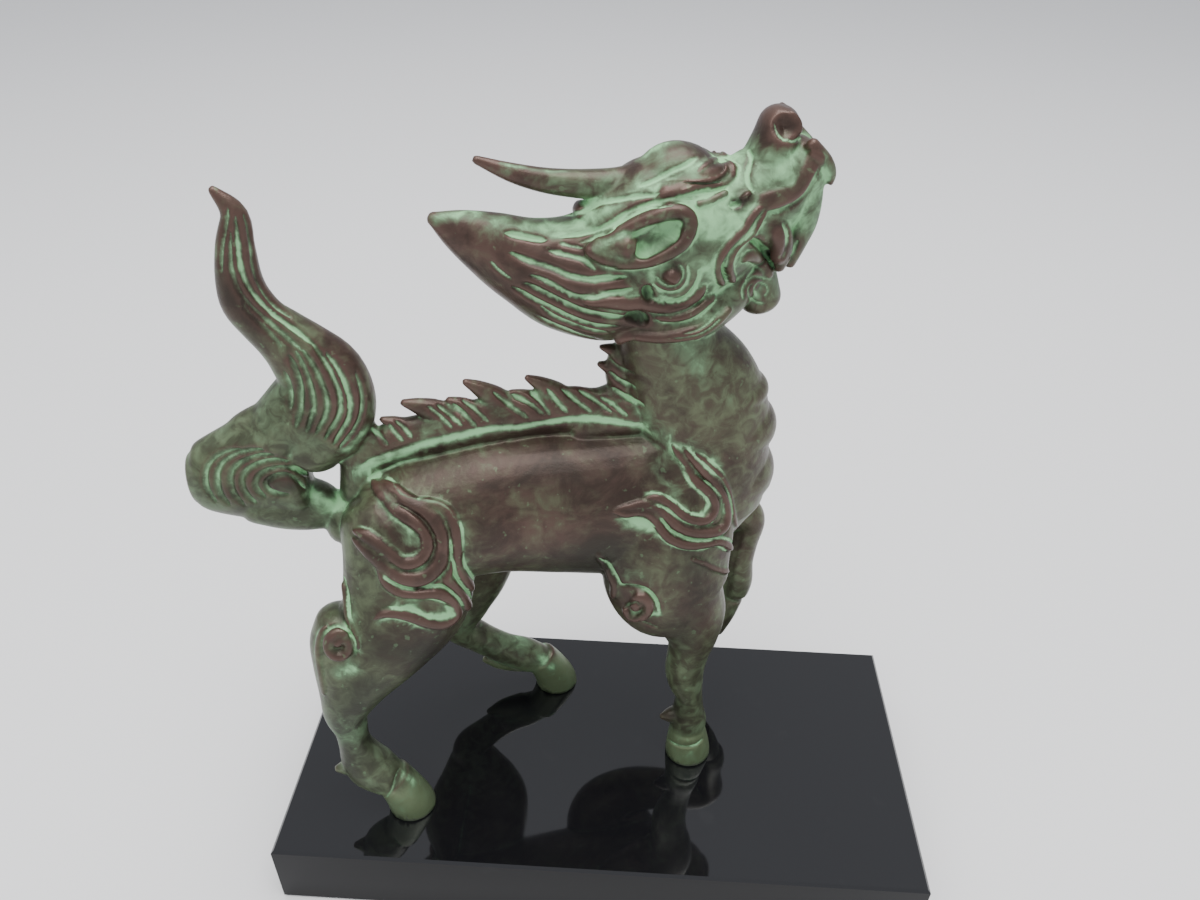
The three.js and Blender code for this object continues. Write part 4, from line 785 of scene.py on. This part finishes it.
def read_normals(mesh):
    """The vertices' normals, as rows."""
    normals = np.zeros(len(mesh.vertices) * 3, np.float32)
    mesh.vertex_normals.foreach_get("vector", normals)
    return normals.reshape(-1, 3).astype(float)


def read_edges(mesh):
    """The two vertices of every edge, as rows."""
    pairs = np.zeros(len(mesh.edges) * 2, np.int32)
    mesh.edges.foreach_get("vertices", pairs)
    return pairs.reshape(-1, 2)


def averaged(values, edges, rounds, hold=0.0):
    """Values spread over their neighbours along the edges, for some rounds."""
    count = len(values)
    a, b = edges.T
    degree = np.bincount(a, minlength=count) + np.bincount(b, minlength=count)
    out = values.astype(float)
    flat = out.ndim == 1
    if flat:
        out = out[:, None]
    for _ in range(rounds):
        total = np.stack([
            np.bincount(a, column[b], count) + np.bincount(b, column[a], count) for column in out.T], 1)
        out = hold * out + (1 - hold) * total / degree[:, None]
    return out[:, 0] if flat else out


def reach_of(points, line, far):
    """For points near a line: their rows, distance to it and share of its length."""
    line = np.array([tuple(p) for p, _ in line], float)
    low, high = line.min(0) - far, line.max(0) + far
    rows = np.flatnonzero(((points >= low) & (points <= high)).all(1))
    if not len(rows):
        return rows, None, None
    starts, ends = line[:-1], line[1:]
    runs = ends - starts
    lengths = np.linalg.norm(runs, axis=1)
    along = np.concatenate([[0], np.cumsum(lengths)])
    best = np.full(len(rows), np.inf)
    share = np.zeros(len(rows))
    p = points[rows]
    for start, run, length, before in zip(starts, runs, lengths, along):
        if length < 1e-6:
            continue
        t = np.clip((p - start) @ run / length ** 2, 0, 1)
        d = np.linalg.norm(p - start - t[:, None] * run, axis=1)
        nearer = d < best
        best[nearer] = d[nearer]
        share[nearer] = (before + t[nearer] * length) / along[-1]
    inside = best < far
    return rows[inside], best[inside], share[inside]


def tapered(share, length=0.1):
    """Full in the middle of a line and narrowing at both ends."""
    end = np.minimum(share, 1 - share)
    return np.sqrt(np.clip(end / length, 0.02, 1))


def carve(points, skin, height):
    """How far each point is raised or sunk by the bands and furrows, and how green their edges are."""
    base = np.zeros(len(points))
    for half, high, pixels in MOUNDS:
        for line in skin.lines(pixels):
            rows, distance, _ = reach_of(points, line, half)
            if len(rows):
                base[rows] += high * (1 - (distance / half) ** 2) ** 1.2
    raised = np.zeros(len(points))
    sunk = np.zeros(len(points))
    line_green = np.zeros(len(points))
    for half, high, pixels in BANDS:
        for line in skin.lines(pixels):
            rows, distance, share = reach_of(points, line, half * 1.35)
            if not len(rows):
                continue
            width = half * tapered(share)
            q = distance / width
            rise = high * np.sqrt(np.clip(1 - q ** 2, 0, 1)) * np.minimum(1, width / half + 0.2)
            raised[rows] = np.maximum(raised[rows], rise)
            edge = 0.2 * np.clip(1 - np.abs(distance - width - 0.1) / 0.4, 0, 1)
            line_green[rows] = np.maximum(line_green[rows], edge)
    for half, deep, green, pixels in FURROWS:
        for line in skin.lines(pixels):
            rows, distance, share = reach_of(points, line, half)
            if not len(rows):
                continue
            q = distance / (half * tapered(share, 0.15))
            cut = deep * np.clip(1 - q, 0, 1) ** 1.3
            sunk[rows] = np.maximum(sunk[rows], cut)
            line_green[rows] = np.maximum(line_green[rows], green * np.clip(1.1 - 1.5 * q, 0, 1))
    return height * (base + raised - sunk), line_green


def patches(points, skin, table):
    """How strongly each point lies in soft patches around lines."""
    strong = np.zeros(len(points))
    for radius, strength, pixels in table:
        for line in skin.lines(pixels):
            rows, distance, _ = reach_of(points, line, radius * 1.6)
            if len(rows):
                soft = strength * np.exp(-(distance / radius) ** 2 * 1.4)
                strong[rows] = np.maximum(strong[rows], soft)
    return strong


def step_up(value, low, high):
    """A smooth step from 0 at low to 1 at high."""
    t = np.clip((value - low) / (high - low), 0, 1)
    return t * t * (3 - 2 * t)


def regions(points):
    """How much mint, dull olive and pale hoof film each point carries, by where it lies."""
    x, y, z = points.T
    head = step_up(z, 152, 166) * step_up(x, -34, -14)
    nose = step_up(z, 200, 206) * step_up(x, 24, 28)
    horn = step_up(z, 187, 190) * step_up(-x, -4, 4)
    mane_top = step_up(z - (180 - 0.1 * x), 2, 6) * (1 - horn) * step_up(z, 175, 180)
    mane_tip = step_up(-x, 16, 27) * step_up(z, 160, 168)
    mint = 0.5 * head
    mint = np.maximum(mint, 0.8 * mane_top)
    mint *= (1 - 0.85 * nose) * (1 - 0.8 * horn * (1 - 0.4 * step_up(z, 194, 199)))
    mint *= 1 - 0.75 * mane_tip * (1 - mane_top)
    neck = step_up(z, 118, 158) * step_up(x, 4, 14)
    legs = step_up(-z, -66, -44)
    hooves = step_up(-z, -16, -13)
    rear = step_up(-x, 56, 70) * step_up(-z, -122, -112)
    tail = step_up(-x, 68, 76) * step_up(z, 96, 104)
    dull = 0.52 + 0.12 * neck + 0.3 * legs + 0.3 * rear + 0.38 * tail + 0.2 * head
    dull = np.clip(dull, 0, 1) * (1 - 0.5 * mane_tip) * (1 - 0.7 * nose)
    mint = np.maximum(mint, 0.3 * neck * step_up(z, 140, 160))
    mint = np.maximum(mint, np.maximum(0.3 * tail, 0.3 * legs))
    comb = step_up(z - (128 + 0.02 * x), -2, 3) * step_up(-x, -8, 0)
    comb *= step_up(x, -70, -64) * step_up(-z, -150, -140)
    mint = np.maximum(mint, 0.4 * comb)
    return mint, dull, hooves


def store(mesh, name, values):
    """Writes a value per vertex, which the patina's material reads."""
    attribute = mesh.attributes.new(name, "FLOAT", "POINT")
    attribute.data.foreach_set("value", np.clip(values, 0, 1).astype(np.float32))


def cast(detail):
    """The figure's masses and fittings, melted into one skin with steps of the given size."""
    solid = bmesh.new()
    add_masses(solid)
    rough_skin = Skin(mesh_from(solid, "masses"))
    add_fittings(solid)
    add_strands(solid, rough_skin)
    mesh = mesh_from(solid, "rough_casting")
    solid.free()
    return with_modifiers(
        mesh, "casting",
        ("REMESH", {"mode": "VOXEL", "voxel_size": detail}),
        ("SMOOTH", {"factor": 0.5, "iterations": max(2, round(1.4 / detail))}))


def finish(mesh, detail, relief):
    """Carves the skin and returns the layers that its patina and its painted shade are mixed from."""
    skin = Skin(mesh)
    points, edges = read_points(mesh), read_edges(mesh)

    def spread_over(values, reach, least):
        return averaged(values, edges, max(least, round((reach / detail) ** 2)))

    normals = averaged(read_normals(mesh), edges, 3, 0.4)
    normals /= np.linalg.norm(normals, axis=1)[:, None] + 1e-9
    shift, line_green = carve(points, skin, relief)
    carved = averaged(points + normals * shift[:, None], edges, 1, 0.6)
    carved[:, 2] = np.maximum(carved[:, 2], 0)
    mesh.vertices.foreach_set("co", carved.astype(np.float32).ravel())

    near = spread_over(carved, NEAR_REACH, 3)
    inward = ((near - carved) * normals).sum(1)
    inward_wide = ((spread_over(near, WIDE_REACH, 1) - near) * normals).sum(1)
    rubbed = patches(points, skin, RUBBED)
    # Painted shade patches, which darken the colour and thin the green there
    painted_shade = patches(points, skin, PAINTED_SHADE_PATCHES)
    hollow = step_up(inward, 0.02, 0.22) + 0.7 * step_up(inward_wide, 0.08, 0.7)
    hollow = np.maximum(0.45 * hollow * (1 - 0.8 * rubbed), line_green) * (1 - 0.7 * painted_shade)
    ridge = step_up(-inward, 0.03, 0.22) + 0.2 * step_up(-inward_wide, 0.1, 0.6)
    mint, dull, hooves = regions(points)
    mint = np.maximum(mint * (1 - rubbed), patches(points, skin, WASHES))
    halo = np.minimum(1.9 * spread_over(line_green, HALO_REACH, 2), 0.6) * (1 - 0.7 * rubbed)
    return {
        "hollow": hollow, "ridge": ridge, "mint": np.maximum(mint, halo),
        "dull": dull * (1 - 0.7 * rubbed), "hoof": hooves, "painted_shade": painted_shade,
    }


class Nodes:
    """Short ways to make and link shader nodes in one tree."""

    def __init__(self, tree):
        self.tree = tree
        self.column = 0

    def add(self, kind, values=None, inputs=None):
        node = self.tree.nodes.new(kind)
        node.location = (self.column * 190, -(self.column % 5) * 160)
        self.column += 1
        for key, value in (values or {}).items():
            setattr(node, key, value)
        for key, value in (inputs or {}).items():
            self.put(value, node.inputs[key])
        return node

    def put(self, value, socket):
        if isinstance(value, bpy.types.NodeSocket):
            self.tree.links.new(value, socket)
        else:
            socket.default_value = value

    def maths(self, operation, *values, clamp=False):
        node = self.add("ShaderNodeMath", {"operation": operation, "use_clamp": clamp})
        for i, value in enumerate(values):
            self.put(value, node.inputs[i])
        return node.outputs[0]

    def mix(self, share, a, b, blend="MIX"):
        node = self.add("ShaderNodeMix", {"data_type": "RGBA", "blend_type": blend})
        self.put(share, node.inputs[0])
        self.put(a, node.inputs[6])
        self.put(b, node.inputs[7])
        return node.outputs[2]

    def spread(self, value, low, high, to_low=0.0, to_high=1.0):
        node = self.add("ShaderNodeMapRange", {"interpolation_type": "SMOOTHSTEP"})
        for i, v in enumerate((value, low, high, to_low, to_high)):
            self.put(v, node.inputs[i])
        return node.outputs[0]

    def noise(self, place, scale, detail=4.0, rough=0.6, warp=0.0):
        node = self.add("ShaderNodeTexNoise", inputs={
            "Vector": place, "Scale": scale, "Detail": detail, "Roughness": rough, "Distortion": warp})
        return node.outputs[0]


def new_group(name, sockets):
    """A shader node group with named sockets, each a name, its way and its kind."""
    group = bpy.data.node_groups.new(name, "ShaderNodeTree")
    for label, way, kind in sockets:
        group.interface.new_socket(label, in_out=way, socket_type=kind)
    nodes = Nodes(group)
    return group, nodes, nodes.add("NodeGroupInput"), nodes.add("NodeGroupOutput")


def grain_group():
    """Fine cloudy grain and a scatter of specks, from object coordinates."""
    group, nodes, start, end = new_group(GRAIN, [
        ("Scale", "INPUT", "NodeSocketFloat"), ("Clouds", "OUTPUT", "NodeSocketFloat"),
        ("Mottle", "OUTPUT", "NodeSocketFloat"), ("Grain", "OUTPUT", "NodeSocketFloat"),
        ("Specks", "OUTPUT", "NodeSocketFloat")])
    place = nodes.add("ShaderNodeTexCoord").outputs["Object"]
    scaled = nodes.add("ShaderNodeVectorMath", {"operation": "SCALE"})
    nodes.put(place, scaled.inputs[0])
    nodes.put(start.outputs["Scale"], scaled.inputs["Scale"])
    at = scaled.outputs[0]
    nodes.put(nodes.noise(at, 70.0, 5.0, 0.62, 0.6), end.inputs["Clouds"])
    nodes.put(nodes.noise(at, 230.0, 3.0, 0.55, 0.8), end.inputs["Mottle"])
    nodes.put(nodes.noise(at, 900.0, 3.0, 0.7), end.inputs["Grain"])
    fine = nodes.noise(at, 420.0, 2.0, 0.5)
    nodes.put(nodes.spread(fine, 0.66, 0.74), end.inputs["Specks"])
    return group


def new_material(name):
    """A material with one empty shader, and the means to add nodes to it."""
    material = bpy.data.materials.new(name)
    material.use_nodes = True
    material.node_tree.nodes.clear()
    nodes = Nodes(material.node_tree)
    shader = nodes.add("ShaderNodeBsdfPrincipled")
    output = nodes.add("ShaderNodeOutputMaterial")
    nodes.put(shader.outputs[0], output.inputs[0])
    return material, nodes, shader


def patina_material(values, grain):
    """Brown bronze, rubbed on its ridges, under dull olive and bright green verdigris, darkened by painted
    shade on the lower body, the legs and in deep hollows.
    """
    material, nodes, shader = new_material("Patinated bronze")
    group = nodes.add("ShaderNodeGroup", {"node_tree": grain}, {"Scale": 1.0})
    clouds, mottle, fine, specks = (group.outputs[k] for k in ("Clouds", "Mottle", "Grain", "Specks"))

    def layer(name):
        return nodes.add("ShaderNodeAttribute", {"attribute_name": name}).outputs["Fac"]

    hollow, ridge, mint, dull = map(layer, ("hollow", "ridge", "mint", "dull"))
    hoof, painted_shade = map(layer, ("hoof", "painted_shade"))
    brown = nodes.mix(nodes.spread(clouds, 0.35, 0.65), tuple(values.bronze_dark), tuple(values.bronze))
    brown = nodes.mix(nodes.maths("MULTIPLY", ridge, 0.55, clamp=True), brown, tuple(values.bronze_rubbed))
    veil = nodes.maths("MULTIPLY_ADD", clouds, 1.3, -0.65)
    veil = nodes.maths("ADD", nodes.maths("ADD", dull, nodes.maths("MULTIPLY", hollow, 0.8)), veil)
    veil = nodes.maths("SUBTRACT", veil, nodes.maths("MULTIPLY", ridge, 0.4))
    veil = nodes.maths("ADD", veil, nodes.maths("MULTIPLY_ADD", mottle, 0.7, -0.35))
    veil = nodes.spread(veil, 0.1, 1.0, 0.0, 0.92)
    olive = nodes.mix(nodes.spread(mottle, 0.3, 0.7), tuple(values.olive_dark), tuple(values.olive))
    colour = nodes.mix(veil, brown, olive)
    colour = nodes.mix(nodes.maths("MULTIPLY", hoof, 0.75), colour, tuple(values.hoof))
    # Painted shade: darkens the colour where the shade patches lie
    colour = nodes.mix(nodes.maths("MULTIPLY", painted_shade, 0.8), colour, tuple(values.painted_shade))
    thick = nodes.maths("ADD", nodes.maths("MULTIPLY", mint, 1.0), nodes.maths("MULTIPLY", hollow, 0.95))
    thick = nodes.maths("SUBTRACT", thick, nodes.maths("MULTIPLY", ridge, 0.5))
    thick = nodes.maths("ADD", thick, nodes.maths("MULTIPLY_ADD", clouds, 1.2, -0.6))
    thick = nodes.maths("ADD", thick, nodes.maths("MULTIPLY_ADD", mottle, 0.8, -0.4))
    cover = nodes.spread(thick, 0.2, 0.85, 0.0, 0.97)
    green = nodes.mix(nodes.spread(thick, 0.5, 1.0), tuple(values.verdigris_dark), tuple(values.verdigris))
    colour = nodes.mix(cover, colour, green)
    colour = nodes.mix(nodes.maths("MULTIPLY", specks, 0.12), colour, tuple(values.verdigris))
    nodes.put(colour, shader.inputs["Base Color"])
    rough = nodes.maths("MULTIPLY_ADD", cover, 0.26, 0.36)
    rough = nodes.maths("ADD", rough, nodes.maths("MULTIPLY_ADD", fine, 0.16, -0.08))
    rough = nodes.maths("SUBTRACT", rough, nodes.maths("MULTIPLY", ridge, 0.05), clamp=True)
    nodes.put(rough, shader.inputs["Roughness"])
    nodes.put(1.34, shader.inputs["IOR"])
    metal = nodes.maths("MULTIPLY_ADD", cover, -0.3, 0.34, clamp=True)
    nodes.put(metal, shader.inputs["Metallic"])
    height = nodes.maths("ADD", nodes.maths("MULTIPLY", fine, 0.6), nodes.maths("MULTIPLY", cover, 0.35))
    bump = nodes.add("ShaderNodeBump", inputs={"Strength": 0.35, "Distance": 0.0003, "Height": height})
    nodes.put(bump.outputs[0], shader.inputs["Normal"])
    return material


def slab_material(values, grain):
    """Black lacquer, polished, with a breath of dust and finger haze."""
    material, nodes, shader = new_material("Polished black lacquer")
    group = nodes.add("ShaderNodeGroup", {"node_tree": grain}, {"Scale": 0.25})
    clouds, specks = group.outputs["Clouds"], group.outputs["Specks"]
    tint = nodes.mix(nodes.maths("MULTIPLY", specks, 0.01), tuple(values.lacquer), (0.2, 0.2, 0.2, 1))
    nodes.put(tint, shader.inputs["Base Color"])
    rough = nodes.maths("MULTIPLY_ADD", nodes.spread(clouds, 0.4, 0.75), 0.035, values.gloss)
    nodes.put(rough, shader.inputs["Roughness"])
    nodes.put(1.6, shader.inputs["IOR"])
    facing = nodes.add("ShaderNodeSeparateXYZ", inputs={
        "Vector": nodes.add("ShaderNodeNewGeometry").outputs["Normal"]})
    side = nodes.spread(nodes.maths("ABSOLUTE", facing.outputs["Z"]), 0.1, 0.4, 1.0, 0.0)
    nodes.put(side, shader.inputs["Metallic"])
    return material


class FigureSettings(bpy.types.PropertyGroup):
    detail: FloatProperty(
        name="Detail", description="Size of the surface's finest step, in millimetres of the figure",
        default=0.45, min=0.3, max=2.0)
    relief: FloatProperty(
        name="Relief", description="Share of the full height of bands and furrows",
        default=1.0, min=0.0, max=2.0, subtype="FACTOR")
    faces: IntProperty(
        name="Triangles", description="Most triangles that the finished figure has",
        default=196000, min=20000)
    bronze: FloatVectorProperty(
        name="Bronze", description="Brown skin of the casting", subtype="COLOR", size=4,
        default=(0.088, 0.052, 0.041, 1))
    bronze_dark: FloatVectorProperty(
        name="Dark bronze", description="Darker clouds in the brown", subtype="COLOR", size=4,
        default=(0.04, 0.026, 0.02, 1))
    bronze_rubbed: FloatVectorProperty(
        name="Rubbed bronze", description="Brown where hands have rubbed it", subtype="COLOR", size=4,
        default=(0.108, 0.063, 0.049, 1))
    olive: FloatVectorProperty(
        name="Olive", description="Dull green film", subtype="COLOR", size=4,
        default=(0.115, 0.145, 0.08, 1))
    olive_dark: FloatVectorProperty(
        name="Dark olive", description="Dark parts of the dull film", subtype="COLOR", size=4,
        default=(0.05, 0.063, 0.036, 1))
    verdigris: FloatVectorProperty(
        name="Verdigris", description="Bright green that lies in the hollows", subtype="COLOR", size=4,
        default=(0.27, 0.54, 0.27, 1))
    verdigris_dark: FloatVectorProperty(
        name="Thin verdigris", description="The same green where it lies thin", subtype="COLOR", size=4,
        default=(0.115, 0.19, 0.105, 1))
    hoof: FloatVectorProperty(
        name="Hoof", description="Pale olive of the hooves", subtype="COLOR", size=4,
        default=(0.15, 0.2, 0.105, 1))
    # Colour of the painted shade on the belly, the legs and in deep hollows
    painted_shade: FloatVectorProperty(
        name="Painted shade", description="Colour of painted shade on the belly and the legs", subtype="COLOR", size=4,
        default=(0.02, 0.02, 0.014, 1))


class SlabSettings(bpy.types.PropertyGroup):
    lacquer: FloatVectorProperty(
        name="Lacquer", description="Colour of the slab", subtype="COLOR", size=4,
        default=(0.006, 0.006, 0.007, 1))
    gloss: FloatProperty(
        name="Roughness", description="Roughness of the polished face", default=0.035, min=0, max=1,
        subtype="FACTOR")


class StageSettings(bpy.types.PropertyGroup):
    floor_size: FloatProperty(
        name="Floor", description="Length of the floor's sides", default=6.0, min=0.5, unit="LENGTH")
    floor_colour: FloatVectorProperty(
        name="Floor colour", description="Colour of the plain floor", subtype="COLOR", size=4,
        default=(0.8, 0.795, 0.79, 1))
    key_power: FloatProperty(
        name="Key light", description="Power of the large soft light", default=4.5, min=0, unit="POWER")
    top_power: FloatProperty(
        name="Top light", description="Power of the light overhead", default=22.0, min=0, unit="POWER")
    sky: FloatProperty(
        name="Room light", description="Strength of the even light all round", default=0.8, min=0)


class QILIN_OT_figure(bpy.types.Operator):
    """Casts the figure in one piece, carves its relief and lays its patina"""
    bl_idname = "qilin.figure"
    bl_label = "Cast the figure"

    def execute(self, context):
        values = context.scene.qilin_figure
        detail = values.detail
        mesh = cast(detail)
        for name, data in finish(mesh, detail, values.relief).items():
            store(mesh, name, data)
        triangles = sum(len(p.vertices) - 2 for p in mesh.polygons)
        ratio = min(1.0, values.faces / triangles)
        if ratio < 1:
            mesh = with_modifiers(mesh, "thinned", ("DECIMATE", {"ratio": ratio}))
        mesh.transform(TO_ROW)
        mesh.polygons.foreach_set("use_smooth", [True] * len(mesh.polygons))
        mesh.name = "cast_qilin"
        mesh.materials.clear()
        mesh.materials.append(patina_material(values, bpy.data.node_groups[GRAIN]))
        figure = bpy.data.objects.new("cast_qilin", mesh)
        context.scene.collection.objects.link(figure)
        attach(figure, "root")
        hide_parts("qilin")
        return {"FINISHED"}


class QILIN_OT_slab(bpy.types.Operator):
    """Gives the slab its polished black lacquer"""
    bl_idname = "qilin.slab"
    bl_label = "Polish the slab"

    def execute(self, context):
        material = slab_material(context.scene.qilin_slab, bpy.data.node_groups[GRAIN])
        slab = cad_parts["plinth"]
        slab.data.materials.clear()
        slab.data.materials.append(material)
        return {"FINISHED"}


def add_lamp(name, kind, place, aim, size, power):
    """A soft rectangular light that faces a point."""
    data = bpy.data.lights.new(name, kind)
    data.shape = "RECTANGLE"
    data.size, data.size_y = size
    data.energy = power
    lamp = bpy.data.objects.new(name, data)
    lamp.location = place
    lamp.rotation_euler = (Vector(aim) - Vector(place)).to_track_quat("-Z", "Y").to_euler()
    bpy.context.scene.collection.objects.link(lamp)


class QILIN_OT_stage(bpy.types.Operator):
    """Sets the pale floor, the soft studio light and the photograph's camera"""
    bl_idname = "qilin.stage"
    bl_label = "Set the stage"

    def execute(self, context):
        values = context.scene.qilin_stage
        ground = bmesh.new()
        bmesh.ops.create_grid(ground, x_segments=1, y_segments=1, size=values.floor_size / 2)
        mesh = mesh_from(ground, "floor")
        ground.free()
        material, nodes, shader = new_material("Pale floor")
        nodes.put(tuple(values.floor_colour), shader.inputs["Base Color"])
        nodes.put(0.85, shader.inputs["Roughness"])
        mesh.materials.append(material)
        floor = bpy.data.objects.new("floor", mesh)
        context.scene.collection.objects.link(floor)
        world = bpy.data.worlds.new("Room")
        world.use_nodes = True
        world.node_tree.nodes["Background"].inputs["Color"].default_value = (0.9, 0.93, 1.0, 1)
        world.node_tree.nodes["Background"].inputs["Strength"].default_value = values.sky
        context.scene.world = world
        middle = (0, 0, 0.12)
        add_lamp("Window", "AREA", (-0.5, -0.45, 1.0), middle, (0.9, 0.7), values.key_power)
        add_lamp("Ceiling", "AREA", (0.1, 0.0, 1.3), middle, (1.1, 0.9), values.top_power)
        right, up, forward = camera_axes()
        data = bpy.data.cameras.new("Camera")
        data.sensor_fit = "HORIZONTAL"
        data.sensor_width = SENSOR
        data.lens = CAMERA_LENS
        data.clip_start, data.clip_end = CAMERA_NEAR, CAMERA_FAR
        camera = bpy.data.objects.new("Camera", data)
        turn = Matrix([[*row] for row in zip(right, up, -forward)]).to_4x4()
        camera.matrix_world = Matrix.Translation(CAMERA_PLACE * MM) @ turn
        context.scene.collection.objects.link(camera)
        context.scene.camera = camera
        return {"FINISHED"}


class QILIN_PT_panel(bpy.types.Panel):
    """Lists the figure's pieces and their settings"""
    bl_idname = "QILIN_PT_panel"
    bl_label = "Cast qilin"
    bl_space_type = "VIEW_3D"
    bl_region_type = "UI"
    bl_category = "Qilin"

    def draw(self, context):
        layout = self.layout
        groups = (
            (QILIN_OT_figure, context.scene.qilin_figure),
            (QILIN_OT_slab, context.scene.qilin_slab),
            (QILIN_OT_stage, context.scene.qilin_stage),
        )
        for operator, values in groups:
            box = layout.box()
            box.operator(operator.bl_idname)
            for name in values.__annotations__:
                box.prop(values, name)


CLASSES = (
    FigureSettings, SlabSettings, StageSettings, QILIN_OT_figure, QILIN_OT_slab, QILIN_OT_stage,
    QILIN_PT_panel,
)


def register():
    for cls in CLASSES:
        bpy.utils.register_class(cls)
    bpy.types.Scene.qilin_figure = PointerProperty(type=FigureSettings)
    bpy.types.Scene.qilin_slab = PointerProperty(type=SlabSettings)
    bpy.types.Scene.qilin_stage = PointerProperty(type=StageSettings)


def unregister():
    for name in ("qilin_figure", "qilin_slab", "qilin_stage"):
        delattr(bpy.types.Scene, name)
    for cls in reversed(CLASSES):
        bpy.utils.unregister_class(cls)


def main():
    """Builds the whole scene in order."""
    register()
    grain_group()
    bpy.ops.qilin.slab()
    bpy.ops.qilin.figure()
    bpy.ops.qilin.stage()


if __name__ == "__main__":
    main()
